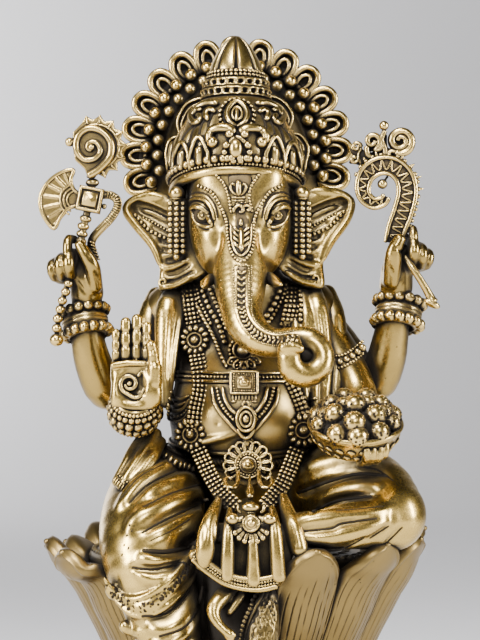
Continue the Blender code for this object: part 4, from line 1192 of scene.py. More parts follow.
def lay_crown_front(dome, surface):
    """The chased front: leaves, an arch of beads, horns, scrolls and a drop in the middle."""
    on = dict(default=-12)
    middle = CROWN_MIDDLE
    for leaf, core in (
        ([(-12.0, 165.4), (-12.1, 168.6), (-10.2, 173.2), (-8.1, 169.8), (-7.3, 165.6)],
         [(-9.9, 166.0), (-10.1, 171.0)]),
        ([(-16.2, 164.6), (-16.0, 168.2), (-14.3, 171.8), (-12.7, 169), (-12.2, 165.2)],
         [(-14.3, 165.6), (-14.3, 170.0)]),
    ):
        for outline, heart in zip(both(leaf, middle), both(core, middle)):
            lay_tube(dome, [surface], outline, 0.62, lift=0.5, **on)
            lay_tube(dome, [surface], heart, 1.15, ends=0.15, lift=0.2, **on)
    arch = [(middle - 0.4, 175.6), (middle - 1.9, 176.6), (middle - 2.4, 178.6), (middle - 1.5, 180.6),
            (middle, 181.6), (middle + 1.5, 180.6), (middle + 2.4, 178.6), (middle + 1.9, 176.6),
            (middle + 0.4, 175.6)]
    lay_tube(dome, [surface], arch, 0.72, lift=0.8, **on)
    heart = [(middle + (u - middle) * 0.5, 178.4 + (v - 178.4) * 0.55) for u, v in arch]
    lay_tube(dome, [surface], heart, 0.34, lift=0.9, **on)
    lay_tube(dome, [surface], [(middle, 176.6), (middle, 178.2), (middle, 180)], 0.5, ends=0.1, lift=1.0,
             **on)
    halo_of_beads = [(middle + 4.1 * math.cos(math.radians(a)), 178.4 + 4.0 * math.sin(math.radians(a)))
                     for a in range(-50, 231, 14)]
    lay_beads(dome, [surface], halo_of_beads, 0.62, 1.15, 0.4, **on)
    for horn in both([(middle - 0.9, 174.3), (middle - 2.6, 175.1), (middle - 5.0, 175.0),
                      (middle - 6.9, 173.8), (middle - 7.0, 171.8)], middle):
        lay_tube(dome, [surface], horn, 1.15, lift=0.8, ends=0.75, **on)
    for bulb in both([(middle - 6.1, 171.9), (middle - 1.9, 173.9)], middle):
        for u, v in bulb:
            point, _ = hit([surface], u, v, -12)
            dome.beads([point + np.array([0, -0.8, 0])], 1.4 if v < 173 else 1.05, fine=True)
    for side in both(spiral((middle - 9.6, 177.8), 2.1, 60, 420), middle):
        lay_tube(dome, [surface], side, 0.85, lift=0.6, **on)
    for side in both([(middle - 4.6, 181.2), (middle - 7.2, 181.4), (middle - 9.4, 180.2),
                      (middle - 10.8, 178.2)], middle):
        lay_tube(dome, [surface], side, 1.05, lift=0.5, **on)
    for side in both([(middle - 5.2, 179.2), (middle - 6.6, 179.8), (middle - 7.6, 178.6),
                      (middle - 7.0, 177.2)], middle):
        lay_tube(dome, [surface], side, 0.8, lift=0.5, **on)
    point, normal = hit([surface], middle, 170.3, -12)
    dome.beads([point + normal * 0.9], 1.1, fine=True, stretch=(1.5, 1.1, 2.1))
    rim = [(middle + 2.2 * math.cos(a), 170.3 + 2.8 * math.sin(a))
           for a in np.linspace(0.5, math.pi - 0.5, 9)]
    lay_tube(dome, [surface], rim, 0.6, lift=0.6, **on)
    for u, v, size in ((2.7, 171.2, 0.95), (3.1, 169.4, 0.8), (2.4, 167.9, 0.95), (0.9, 167.2, 0.8)):
        for side in (-1, 1):
            point, _ = hit([surface], middle + side * u, v, -12)
            dome.beads([point + np.array([0, -0.5, 0])], size, fine=True)


def make_crown_creases(surface):
    """Painted shade: dark lines between the swags on the dome's shoulders."""
    on = dict(default=-12)
    middle = CROWN_MIDDLE
    creases = Stock()
    for spread in (0.0, 1.0, 2.0, 3.0):
        high, low = 5.6 + 1.7 * spread, 7.6 + 2.3 * spread
        for line in both([(middle - high, 180.2 - 1.3 * spread),
                          (middle - (high + low) / 2 - 0.5, 176.4 - 0.9 * spread),
                          (middle - low, 171.6 - 0.5 * spread)], middle):
            lay_tube(creases, [surface], line, 0.42, lift=-0.12, ends=0.8, **on)
    creases.make("crown_creases", PAINTED_SHADE, "cast_brass")


def make_crown_dome():
    profile = smooth_path([(14.8, 160.8), (15.9, 161.6), (16.3, 165), (16.2, 168), (14.9, 172.5),
                                (12.2, 177.3), (9.4, 181), (8.0, 182.2)], 0.6)
    dome = Stock()
    dome.sheet(crown_grid(np.vstack([profile, [(0, 182.2)]]), steps=144, wave=dome_lobes), around=True)
    surface = dome.surface()
    crown_ring(dome, 16.5, 162.6, 1.02, 50, fine=True)
    crown_ring(dome, 16.1, 161.2, 0.45, 110)
    lay_crown_leaves(dome, profile)
    lay_crown_front(dome, surface)
    make_crown_creases(surface)
    dome.make("crown_dome_chased", CHASED, "cast_brass", "crown_dome")


def pierced(count, level, tall):
    """A wave that sinks a row of dents into a ring, twice count of them, at a level."""
    def wave(angle, radius, height):
        return radius - 1.3 * np.cos(count * angle) ** 4 * np.exp(-((height - level) / tall) ** 4)

    return wave


def flutes(angle, radius, height):
    """Eight flutes up the finial, one of them in front."""
    ridges = np.abs(np.sin(4 * (angle + math.pi / 2)))
    return radius * (0.74 + 0.26 * np.clip(ridges * 1.9, 0, 1) ** 0.5)


def make_crown_top():
    """Two pierced rings, two rows of beads and the fluted finial."""
    top = Stock()
    ring_low = [(7.5, 182.0), (8.6, 182.1), (8.95, 182.5), (8.8, 182.9), (8.75, 183.3), (8.8, 183.7),
                (8.95, 184.1), (8.5, 184.5), (7.9, 184.6)]
    top.sheet(crown_grid(smooth_path(ring_low, 0.22), steps=240, wave=pierced(12, 183.3, 0.62)), around=True)
    ring_high = [(7.9, 184.6), (8.3, 184.7), (8.5, 185.1), (8.35, 185.7), (8.5, 186.3), (8.2, 186.7),
                 (7.2, 187.0)]
    top.sheet(crown_grid(smooth_path(ring_high, 0.22), steps=240, wave=pierced(11, 185.7, 0.5)), around=True)
    crown_ring(top, 7.1, 187.5, 0.55, 40)
    crown_ring(top, 6.8, 188.5, 0.55, 38, phase=0.08)

    finial = smooth_path([(7.2, 187.0), (6.6, 188.2), (6.6, 189.4), (6.0, 191.4), (5.1, 193.2), (4.0, 195.0),
                          (2.6, 196.7), (0.9, 198.0)], 0.4)
    top.sheet(crown_grid(np.vstack([finial, [(0.0, 198.2)]]), steps=240, wave=flutes), around=True)
    top.make("crown_finial_fluted", CHASED, "cast_brass", "crown_finial")


# ---------------------------------------------------------------- halo

HALO = np.array([-1.0, 170.2])
FEATHER_ANGLES = [91.5 + 15.0 * (i - 7) for i in range(15)]


def halo_point(radius, degrees, y, aside=0.0):
    bearing = math.radians(degrees)
    out = np.array([math.cos(bearing), math.sin(bearing)])
    along = np.array([-out[1], out[0]])
    x, z = HALO + out * radius + along * aside
    return np.array([x, y, z])


def make_halo():
    x = HALO[0]
    plate = Clay((-30, 10, 122), (28, 21, 200), cell=0.45, reach=2.5)
    arc_points = [halo_point(24.6, a, 0)[[0, 2]] for a in np.linspace(-20, 203, 60)]
    outline = arc_points + [(x - 12, 148), (x - 10, 126), (x + 10, 126), (x + 12, 148)]
    plate.plate(outline, 16.4, 1.1, soft=0.5)
    rim = [np.append(halo_point(24.4, a, 16.2), 1.3) for a in np.linspace(-20, 203, 90)]
    plate.limb(rim, blend=0.6)
    inner = [np.append(halo_point(18.2, a, 15.6), 0.8) for a in np.linspace(-20, 203, 70)]
    plate.limb(inner, blend=0.5)
    for a in np.linspace(-10, 190, 17):
        plate.limb([np.append(halo_point(6, a, 17.6), 0.5), np.append(halo_point(22, a, 17.6), 0.8)],
                   blend=0.6)
    stock = Stock()
    stock.clay(plate)
    # The back plate is a darker copy of the brass: painted shade behind the feathers.
    stock.make("halo_back_plate", BACKING_IN_SHADE, "cast_brass", "halo_plate")

    ring = Stock()
    for degrees in FEATHER_ANGLES:
        def local(points, y, degrees=degrees):
            return np.array([halo_point(26.0 + r, degrees, y, t) for t, r in points])

        back = Clay(local([(0, 0)], 16)[0] - (5.5, 4, 5.5), local([(0, 0)], 16)[0] + (5.5, 4, 5.5), 0.4, 2.0)
        cup = local([(0, -2.4), (0, 0.2)], 16.4)
        back.limb([(*cup[0], 2.7), (*cup[1], 3.15)], squash=((0, 1, 0), 2.4))
        ring.clay(back)
        rim = smooth_path(local([(-2.2, -3.8), (-2.85, -1.6), (-2.8, 0.6), (-1.9, 2.5), (0, 3.25),
                                 (1.9, 2.5), (2.8, 0.6), (2.85, -1.6), (2.2, -3.8)], 14.4), 0.5)
        ring.tube(with_radius(rim, 0.85), sides=11)
        inner = smooth_path(local([(-1.0, -2.9), (-1.35, -1.6), (-1.3, -0.2), (-0.75, 0.8), (0, 1.2),
                                   (0.75, 0.8), (1.3, -0.2), (1.35, -1.6), (1.0, -2.9)], 14.2), 0.4)
        ring.tube(with_radius(inner, 0.5), sides=9)
        ring.beads(local([(0, -2.9)], 14.6), 0.8)
    ring.make("halo_feather_eyes", CHASED, "cast_brass", "halo_feathers")

    beads = Stock()
    count = 20
    for i in range(count):
        degrees = 92 + 11.25 * (i - (count - 1) / 2)
        beads.beads([halo_point(22.9, degrees, 12.9)], 1.55, fine=True)
        if i < count - 1:
            beads.beads([halo_point(20.1, degrees + 5.6, 12.9)], 1.5, fine=True)
    beads.make("halo_bead_rows", CHASED, "cast_brass", "halo_beads")

    stem = Stock()
    stem.turned([(0, 8.8), (3.4, 8.8), (4.2, 8.2), (3.2, 6.8), (2.8, 4.4), (3.4, 1.6), (4.4, 0.6), (4.4, 0),
                 (0, 0)],
                (0, 14.8, 156), turn((90, 0, 0)), steps=40)
    stem.make("halo_socket", SKIN, "cast_brass", "halo_stem")


def make_leaf_border():
    """The lobed leaf border that stands between the crown and the halo beads."""
    left = [(-16.5, 160), (-17.6, 163.4), (-18.3, 167), (-18.4, 170), (-17.4, 172.6), (-15.2, 173.8),
            (-15.6, 177.2), (-13.6, 181.2), (-10.2, 182.8), (-7.5, 182.6)]
    right = [(6, 183.2), (8.6, 183.2), (11.4, 181.6), (13.1, 178.4), (12.3, 174.6), (15.2, 173.6),
             (17.0, 170.6), (16.4, 166.8), (15.6, 163.4), (14.4, 160)]
    depth = 7.5
    outline = [seen(u, v, depth)[[0, 2]] for u, v in [*left, *right]]
    clay = Clay((-24, 4, 154), (22, 12, 190), cell=0.4, reach=2.0)
    clay.plate(outline, depth + 0.6, 0.7, soft=0.4)
    stock = Stock()
    stock.clay(clay)
    for side in (left, right):
        for inset, thick in ((1.0, 0.42), (0.93, 0.34)):
            path = [(-0.9 + (u + 0.9) * inset, 168 + (v - 168) * inset) for u, v in side]
            rows = np.array([seen(u, v, depth - 0.4) for u, v in smooth_path(path, 0.5)])
            stock.tube(with_radius(rows, thick), sides=7)
    stock.make("crown_leaf_border", CHASED, "cast_brass")


# ---------------------------------------------------------------- lotus

# Each petal's reach from the axis to its nub, and the height of its top. Petal 1 is at the front, to the
# figure's left, and they go round from there.
PETALS = [(50.0, 75.0), (51.0, 75.9), (48.6, 75.8), (46.6, 77.0), (46.5, 75.5), (47.5, 75.0), (48.0, 75.5),
          (48.0, 75.0), (48.0, 75.5), (47.5, 75.0), (47.2, 74.8), (45.5, 72.8), (49.3, 74.4), (52.0, 73.4)]
GROOVES = 9


def make_petal(index, bearing, reach, top):
    """One lotus petal: a thick leaf, plump towards its top and closing to one nub, with fine grooves up
    its outside. The petals at the front stand more upright and are thinner than those at the back."""
    outer, inner = 176, 16
    rng = np.random.default_rng(40 + index)
    flared = np.array([(27.6, 31.5), (29.8, 40), (33.4, 50), (36.8, 57.5), (41.4, 65.5),
                       (reach - 4.6, top - 6.0), (reach - 2.8, top - 3.4), (reach - 1.4, top - 2.0),
                       (reach - 0.4, top - 1.5)])
    upright = np.array([(27.6, 31.5), (31.0, 40), (36.0, 50), (40.4, 57.5), (44.0, 65.0),
                        (reach - 3.6, top - 5.4), (reach - 2.3, top - 2.6), (reach - 1.5, top - 1.2),
                        (reach - 1.0, top - 0.7)])
    facing_us = max(0.0, math.cos(bearing)) ** 0.5
    spine = smooth_path(flared + (upright - flared) * facing_us, 0.62)
    t = np.linspace(0, 1, len(spine))[:, None]
    ahead = np.gradient(spine, axis=0)
    ahead /= np.linalg.norm(ahead, axis=1, keepdims=True)
    closing = np.sqrt(np.maximum(1 - (np.clip(t - 0.74, 0, 1) / 0.26) ** 2, 0.0009))
    half = (4.4 + 3.9 * np.sin(np.clip(t / 0.76, 0, 1) * math.pi / 2)) * closing
    closing = closing ** (1.0 + 0.5 * (1 - facing_us))
    plump = 0.8 + 1.7 * (1 - facing_us)
    around = np.concatenate([np.linspace(0, math.pi, outer, endpoint=False),
                             np.linspace(math.pi, 2 * math.pi, inner, endpoint=False)])
    across, depth = np.cos(around)[None, :], np.sin(around)[None, :]
    depth = np.sign(depth) * np.abs(depth) ** 0.6
    lopsided = np.where(depth > 0, 1.0 - 0.7 * (1 - facing_us), 1.0 + 0.4 * (1 - facing_us))
    thick = (1.2 + plump * lopsided * np.clip((t - 0.68) / 0.18, 0, 1)) * closing**0.4
    cut = np.zeros((len(spine), len(around)))
    for line in np.linspace(-0.84, 0.84, GROOVES):
        line += rng.uniform(-0.02, 0.02)
        stop = 0.93 - 0.10 * line * line - rng.uniform(0, 0.14)
        start = rng.uniform(-0.2, 0.35)
        share = np.clip((stop - t) / 0.05, 0, 1) * np.clip((t - start) / 0.05, 0.1, 1)
        share = share * np.clip(1.1 + 0.9 * np.sin(31 * t + 9 * line) * np.sin(17 * t + 5 * index), 0, 1)
        drawn = line * (1 + 0.03 * np.sin(9 * t + 7 * line)) + 0.16 * np.clip((t - 0.55) / 0.4, 0, 1) ** 2
        away = np.abs((across - drawn) * half)
        cut += share * np.clip(1 - away / 0.17, 0, 1)
    out_side = (depth > 0) * 1.0
    flatten = 1 - np.clip((t - 0.8) / 0.2, 0, 1)
    rise = (thick * depth - 0.33 * np.minimum(cut, 1) * out_side
            - 2.9 * across**2 * (half / 8.3) ** 2 * flatten)
    rise = rise + 0.45 * out_side * np.exp(-(((1 - np.abs(across)) * half - 0.9) / 0.6) ** 2)
    aside = half * across
    radius = spine[:, :1] + rise * ahead[:, 1:]
    z = spine[:, 1:] - rise * ahead[:, :1]
    out, side = (math.sin(bearing), -math.cos(bearing)), (math.cos(bearing), math.sin(bearing))
    grid = np.stack([out[0] * radius + side[0] * aside, out[1] * radius + side[1] * aside, z], axis=2)
    stock = Stock()
    stock.sheet(grid[:, ::-1], around=True)
    tip_r, tip_z = spine[-1]
    nub = (tip_r - 0.2, tip_z - 0.5 * facing_us)
    stock.beads([(out[0] * nub[0], out[1] * nub[0], nub[1])], 0.85, fine=True, stretch=(1.25, 1, 0.9),
                spin=turn((0, 0, math.degrees(bearing))))
    stock.make(f"lotus_petal_{index:02d}", LEAF, "lotus_brass", f"petal_{index:02d}")


def make_petals():
    for i, (reach, top) in enumerate(PETALS):
        bearing = 16.4 + 22.5 * i
        drawn_round = 5.0 * np.clip((180 - bearing) / 60, -1, 1)
        make_petal(i + 1, math.radians(bearing + drawn_round), reach, top)


def bead_ring(stock, radius, height, size, count, stretch=(1, 1, 1)):
    """A level ring of beads round the idol's own axis."""
    angles = np.linspace(0, 2 * math.pi, count, endpoint=False)
    ring = np.stack([radius * np.cos(angles), radius * np.sin(angles), np.full(count, height)], axis=1)
    stock.beads(ring, size, stretch=stretch)


def make_lotus_cup():
    cup = Stock()
    profile = smooth_path([(24.4, 30.6), (25.2, 33), (24.4, 35), (26, 40), (31.2, 48.5), (35.6, 60),
                           (37.6, 68.5), (37.2, 70.2)], 1.2)
    cup.turned(np.vstack([[(21, 30.5)], profile, [(35.5, 70.6), (34, 70.0), (0, 70.0)]]), steps=120)
    bead_ring(cup, 36.3, 70.3, 0.9, 84)
    for radius, count in ((31, 44), (26.5, 38), (22, 30), (17.5, 24), (13, 18)):
        bead_ring(cup, radius, 70.0, 1.1, count, stretch=(1, 1, 0.45))
    bead_ring(cup, 26.4, 32.2, 1.15, 72)
    # The cup is a darker copy of the brass: painted shade between the petals.
    cup.make("lotus_cup_turned", BACKING_IN_SHADE, "lotus_brass", "lotus_cup")


def make_lower_lotus():
    """The downturned lotus under the cup: a waisted core with a row of veined petals."""
    lower = Stock()
    core = smooth_path([(46.2, 30), (47.3, 28.6), (46.6, 26.2), (44.2, 24.4), (43.6, 20), (45.2, 14),
                        (47.4, 10.4), (47.8, 8.6)], 1.0)
    lower.turned(np.vstack([[(0, 30.1), (44, 30.1)], core, [(44, 8.4), (38.6, 26), (0, 26)]]), steps=120)
    bead_ring(lower, 46.9, 28.2, 1.25, 110)
    for i in range(22):
        bearing = 2 * math.pi * i / 22
        t = np.linspace(0, 1, 26)
        around = np.linspace(0, 2 * math.pi, 40, endpoint=False)
        closing = np.sqrt(np.maximum(1 - np.clip((t - 0.35) / 0.65, 0, 1) ** 2.3, 0.001))
        half = 5.9 * closing * (0.86 + 0.14 * np.clip(t / 0.3, 0, 1))
        lip = np.exp(-((1 - t) / 0.09) ** 2)
        radius = 44.6 + 3.2 * t**1.6
        height = 24.6 - 15.0 * t
        across, depth = np.cos(around), np.sin(around)
        vein = 0.35 * np.exp(-((np.abs(across[None, :]) * half[:, None] - 2.6) / 0.4) ** 2)
        out_by = (radius[:, None] + (1.15 + 0.6 * lip)[:, None] * depth[None, :]
                  - 0.8 * across[None, :] ** 2 - vein * (depth > 0))
        aside = half[:, None] * across[None, :]
        out = (math.cos(bearing), math.sin(bearing))
        grid = np.stack([out[0] * out_by - out[1] * aside, out[1] * out_by + out[0] * aside,
                         np.broadcast_to(height[:, None], aside.shape)], axis=2)
        lower.sheet(grid, around=True)
    lower.make("downturned_lotus", LEAF, "lotus_brass", "lower_lotus")


def make_plinth():
    plinth = Stock()
    section = [(44, 8), (48.2, 8.0), (49.2, 7.4), (49.4, 6.4), (48.8, 5.6), (48.8, 4.4), (49.8, 3.6),
               (50.6, 2.6), (PLINTH_R, 1.6), (PLINTH_R, 0.4), (50.6, 0), (43.4, 0), (43.4, 4), (44, 8)]
    plinth.turned(section, steps=160)
    bead_ring(plinth, 48.9, 5.0, 0.95, 120)
    plinth.make("plinth_moulded", LEAF, "lotus_brass", "plinth")


# ---------------------------------------------------------------- ornament kit

class Spot:
    """A small flat frame that touches a surface, for laying out a medallion in its own x, y and height."""

    def __init__(self, point, normal, spin=0.0):
        self.origin = np.asarray(point, float)
        self.axes = facing(normal) @ turn((0, 0, spin))

    def at(self, x, y, h=0.0):
        return self.origin + self.axes @ np.array([x, y, h])

    def tube(self, stock, points, radius, h=0.0, ends=0.6, spacing=0.3):
        """A tube along (x, y) points at height h, thinner at both ends."""
        path = smooth_path(points, spacing)
        rows = self.origin + np.column_stack([path, np.full(len(path), h)]) @ self.axes.T
        stock.tube(with_radius(rows, taper(len(rows), radius, ends)), sides=7)

    def ring(self, stock, reach, radius, h=0.0, stretch=1.0, centre=(0, 0)):
        count = max(16, int(reach * 9))
        points = []
        for i in range(count):
            angle = 2 * math.pi * i / count
            x, y = centre[0] + reach * math.cos(angle), centre[1] + reach * stretch * math.sin(angle)
            points.append([*self.at(x, y, h), radius])
        stock.tube(points, sides=7, closed=True)

    def bead(self, stock, x, y, h, size, stretch=(1, 1, 1), angle=0.0, fine=True):
        spin = self.axes @ turn((0, 0, angle))
        stock.beads([self.at(x, y, h)], size, fine=fine, stretch=stretch, spin=spin)

    def circle_of_beads(self, stock, reach, size, count, h=0.0):
        for i in range(count):
            angle = math.radians(360.0 * i / count)
            self.bead(stock, reach * math.cos(angle), reach * math.sin(angle), h, size, fine=False)

    def turned(self, stock, profile, steps):
        stock.turned(profile, self.origin, self.axes, steps)


def spot_on(surfaces, u, v, lift=0.0, default=0.0, lean=0.5, spin=0.0):
    """A spot where the line of sight meets the surfaces, its normal eased towards the viewer by lean."""
    point, normal = hit(surfaces, u, v, default)
    normal = normal * (1 - lean) + np.array([0, -1, 0.05]) * lean
    normal = normal / np.linalg.norm(normal)
    return Spot(point + normal * lift, normal, spin=spin)


def block(stock, spot, half_x, half_y, low, high, bevel, shrink):
    """A block from one height to another, with a bevel round its upper edge."""
    corners = ((-1, -1), (1, -1), (1, 1), (-1, 1))
    rows = [[spot.at(0, 0, low)] * 4]
    for h, s in ((low, 1.0), (high - bevel, 1.0), (high, shrink)):
        rows.append([spot.at(x * half_x * s, y * half_y * s, h) for x, y in corners])
    rows.append([spot.at(0, 0, high)] * 4)
    stock.sheet(np.array(rows), around=True)


def rosette(stock, spot, radius):
    """A rosette of small teeth round a grooved ring and a boss."""
    r, petals, boss = radius, 13, 0.32
    spot.turned(stock, [(r * 0.96, -0.9), (r * 0.98, 0.0), (r * 0.7, 0.15), (r * 0.62, 0.0), (r * 0.58, 0.55),
                        (r * 0.50, 0.80), (r * 0.42, 0.62), (r * 0.38, 0.2), (r * 0.33, 0.2), (0, 0.25)],
                steps=40)
    for i in range(petals):
        angle = 360.0 * i / petals
        bearing = math.radians(angle)
        spot.bead(stock, r * 0.84 * math.cos(bearing), r * 0.84 * math.sin(bearing), 0.25,
                  r * 0.22, (1.25, 0.95, 1.5), angle)
    spot.bead(stock, 0, 0, 0.45, r * boss, (1, 1, 1.1))
    spot.bead(stock, 0, 0, 0.45 + r * boss * 0.95, r * boss * 0.35)


def strand(stock, surfaces, uv, columns=4, gap=1.06, size=0.55, pitch=1.08, lift=0.75, default=-15.0):
    """Close-set columns of beads along (u, v) points, on a thin strap."""
    path = smooth_path(uv, pitch)
    ahead = np.gradient(path, axis=0)
    ahead /= np.linalg.norm(ahead, axis=1, keepdims=True)
    across = np.stack([-ahead[:, 1], ahead[:, 0]], axis=1)
    middle, _ = draped(surfaces, path, pitch, lift, default=default)
    strap = draped(surfaces, uv, 1.0, lift - 0.5, default=default)[0]
    stock.tube(with_radius(strap, gap * (columns - 1) / 2 + size * 0.4), sides=12, normal=(0, -1, 0.1),
               flat=0.12)
    count = min(len(path), len(middle))
    for j in range(columns):
        side = (j - (columns - 1) / 2) * gap
        drop = 0.18 * (side / max(gap, 0.01)) ** 2 * gap * 0.35
        centres = []
        for i in range(count):
            offset = across[i] * side
            k = 1 + middle[i][1] / EYE_DISTANCE
            centres.append(middle[i] + np.array([offset[0] * k, drop, offset[1] * k]))
        stock.beads(centres, size, stretch=(1, 1, 0.95))


# ---------------------------------------------------------------- arms and hands

def make_arms():
    """Four arms, each with a fleshy elbow, and the beaded armlet on the front left one."""
    surfaces = {}
    for name, node, chain in (
        ("rear_right_arm_skin", "rear_right_arm",
         [(-14, 130, 6, 6.5), (-23, 119, 5.5, 6.6), (-30.5, 110.8, 3, 5.2), (-34.0, 110.6, 0.5, 4.9),
          (-36.6, 116.5, -2, 4.7), (-38.0, 122, -4, 4.3), (-38.6, 127.5, -5.5, 3.9)]),
        ("rear_left_arm_skin", "rear_left_arm",
         [(14, 131, 6, 6.5), (23, 121, 5.5, 6.6), (30.0, 113, 3, 5.4), (34.2, 112.2, 0.5, 5.0),
          (36.6, 118, -2, 4.9), (37.8, 124, -4, 4.4), (38.8, 129.5, -5.5, 4.0)]),
        ("front_right_arm_skin", "front_right_arm",
         [(-16, 126, 0, 6.0), (-22.5, 113, -4, 5.4), (-25.5, 104, -10, 4.6), (-26.2, 102.6, -17, 4.0),
          (-26.2, 104.4, -23.5, 3.6)]),
        ("front_left_arm_skin", "front_left_arm",
         [(17, 128, 0, 6.2), (23.6, 119.8, -3, 5.6), (27.8, 113, -6, 5.0), (30.2, 107, -11, 4.4),
          (30.5, 101, -20, 4.0), (30.5, 96.5, -29, 3.6)]),
    ):
        rows = route(*chain)
        bulk = rows[:, 3].max() + 3
        clay = Clay(rows[:, :3].min(0) - bulk, rows[:, :3].max(0) + bulk)
        clay.limb(rows, blend=1.5, spacing=2)
        stock = Stock()
        stock.clay(clay)
        stock.make(name, ARM, "cast_brass", node)
        surfaces[node] = stock.surface()
    armlet = Stock()
    on = [surfaces["front_left_arm"]]
    for offset, size in ((0.0, 0.95), (1.5, 0.45), (-1.5, 0.45)):
        lay_beads(armlet, on, [(23.2, 116.8 - offset), (25.6, 117.2 - offset), (28.2, 118.6 - offset),
                               (30.6, 120.6 - offset)], size, size * 1.75, lift=0.1, default=-8)
    armlet.make("left_armlet", CHASED, "cast_brass")


def make_bangle(name, node, centre, tilt, radius, size):
    """Two rows of large beads with plain hoops between and beside them."""
    stock = Stock()
    spin = turn(tilt)
    middle = seen(*centre)
    profile = [(radius - 1.2, 3.4), (radius + 0.1, 3.3), (radius + 0.35, 2.4), (radius + 0.1, 1.4),
               (radius + 0.55, 0.8), (radius + 0.7, 0.3), (radius + 0.35, 0.0), (radius + 0.7, -0.3),
               (radius + 0.55, -0.8), (radius + 0.1, -1.4), (radius + 0.35, -2.4), (radius + 0.1, -3.5),
               (radius - 1.2, -3.6), (radius - 1.2, 3.4)]
    stock.turned(profile, middle, spin, steps=56)
    count = int(2 * math.pi * (radius + 0.5) / (size * 1.72))
    for height in (2.7, -2.6):
        angles = np.linspace(0, 2 * math.pi, count, endpoint=False)
        angles = angles + (0.5 * math.pi / count if height < 0 else 0)
        flat = np.stack([(radius + 0.5) * np.cos(angles), (radius + 0.5) * np.sin(angles),
                         np.full(count, height)], axis=1)
        stock.beads(flat @ spin.T + middle, size, fine=True, stretch=(1, 1, 1))
    stock.make(name, CHASED, "bright_brass", node)


def make_bangles():
    make_bangle("rear_right_bead_bangles", "rear_right_bangles", (-38.7, 126.9, -5.8), (-16, -10, 0), 5.1,
                1.3)
    make_bangle("rear_left_bead_bangles", "rear_left_bangles", (39.6, 129.2, -5.8), (-18, 8, 0), 5.2, 1.36)
    stock = Stock()
    spin = turn((42, 4, 0))
    middle = seen(-26.4, 104.9, -24.5)
    stock.turned([(4.4, 3.8), (5.4, 3.2), (5.0, 1.6), (5.4, 0), (5.2, -1.6), (5.4, -3.2), (4.4, -3.8),
                  (4.4, 3.8)], middle,
                 spin, steps=48)
    for row, (height, size, reach) in enumerate(((3.2, 0.5, 5.3), (1.9, 0.8, 5.6), (0.0, 1.15, 5.7),
                                                 (-2.0, 0.95, 5.6), (-3.2, 0.5, 5.4))):
        count = int(2 * math.pi * reach / (size * 1.8))
        angles = np.linspace(0, 2 * math.pi, count, endpoint=False) + row
        flat = np.stack([reach * np.cos(angles), reach * np.sin(angles), np.full(count, height)], axis=1)
        stock.beads(flat @ spin.T + middle, size)
    stock.make("blessing_bead_bracelet", CHASED, "bright_brass", "blessing_bangles")


def make_rear_hands():
    right = Clay((-53, -22, 122), (-31, 4, 154), cell=0.32, reach=2.6)
    right.limb(route((-38.6, 128, -5.4, 3.5), (-38.4, 131, -5.8, 3.6), (-38.3, 134.4, -7.5, 4.2),
                     (-38.5, 138, -8.5, 4.0), (-39.6, 142, -9, 3.2)), blend=1)
    right.limb(route((-36.2, 136, -11.0, 1.8), (-36.8, 140.5, -13.2, 1.9), (-38.4, 143.6, -14.4, 1.65),
                     (-40.0, 146.2, -14.2, 1.35)), blend=0.9, spacing=1)
    right.limb(route((-42.8, 142, -12.5, 1.35), (-43.1, 145, -13.4, 1.3), (-42.9, 147.6, -12.4, 1.2),
                     (-41.4, 147.6, -10.4, 1.1)), blend=0.4, spacing=1)
    for u, top, low, y, r in ((-42.8, 143.4, 138.8, -14.2, 1.5), (-45.0, 142.6, 138.4, -13.4, 1.42),
                              (-47.0, 141.4, 138.2, -12.0, 1.32)):
        right.limb(route((u + 1.2, top + 0.6, y + 4.5, r), (u + 0.1, top, y + 1, r),
                         (u, (top + low) / 2, y, r),
                         (u + 0.5, low, y + 1.6, r * 0.85)), blend=0.3, spacing=1)
    right.limb(route((-41.5, 139, -9, 3.2), (-44.6, 139, -9, 2.6)), blend=0.8)
    surface = clay_surface(right)
    for line in ([(-38.2, 143.8), (-36.8, 142.0)], [(-36.4, 139.4), (-35.4, 137.2)],
                 [(-40.6, 137.2), (-38.8, 134.2)]):
        groove(right, surface, line, width=0.35, sink=0.05, blend=0.5)
    stock = Stock()
    stock.clay(right)
    stock.make("rear_right_fist", ARM, "cast_brass", "rear_right_hand")

    left = Clay((31, -22, 122), (54, 4, 156), cell=0.32, reach=2.6)
    left.limb(route((38.9, 130, -5.4, 3.5), (39.0, 132.8, -5.8, 3.6), (39.0, 136, -7.5, 4.2),
                    (39.2, 139.5, -8.5, 4.0), (40.0, 143, -9, 3.2)), blend=1)
    left.limb(route((38.0, 137.5, -11.2, 2.3), (38.2, 142, -13.2, 2.3), (38.6, 145.0, -14.4, 1.95),
                    (39.9, 147.6, -14.6, 1.5)),
              blend=0.9, spacing=1)
    left.limb(route((42.8, 144.5, -12, 1.35), (43.3, 147.6, -12.6, 1.3), (43.2, 150.2, -11.6, 1.1),
                    (42.2, 150.4, -10, 1.0)),
              blend=0.4, spacing=1)
    for u, top, low, y, r in ((43.5, 146.6, 142.0, -13.6, 1.5), (45.6, 145.2, 141.2, -12.8, 1.42),
                              (47.3, 144.0, 141.2, -11.4, 1.25)):
        left.limb(route((u - 1.2, top + 0.6, y + 4.5, r), (u - 0.1, top, y + 1, r),
                        (u, (top + low) / 2, y, r),
                        (u - 0.5, low, y + 1.6, r * 0.85)), blend=0.3, spacing=1)
    left.limb(route((42, 142, -9, 3.2), (45, 142, -9, 2.5)), blend=0.8)
    surface = clay_surface(left)
    for line in ([(39.4, 145.6), (40.6, 144.0)], [(37.4, 141), (38.2, 139)], [(40.8, 139), (39.6, 136)]):
        groove(left, surface, line, width=0.35, sink=0.05, blend=0.5)
    stock = Stock()
    stock.clay(left)
    stock.make("rear_left_fist", ARM, "cast_brass", "rear_left_hand")


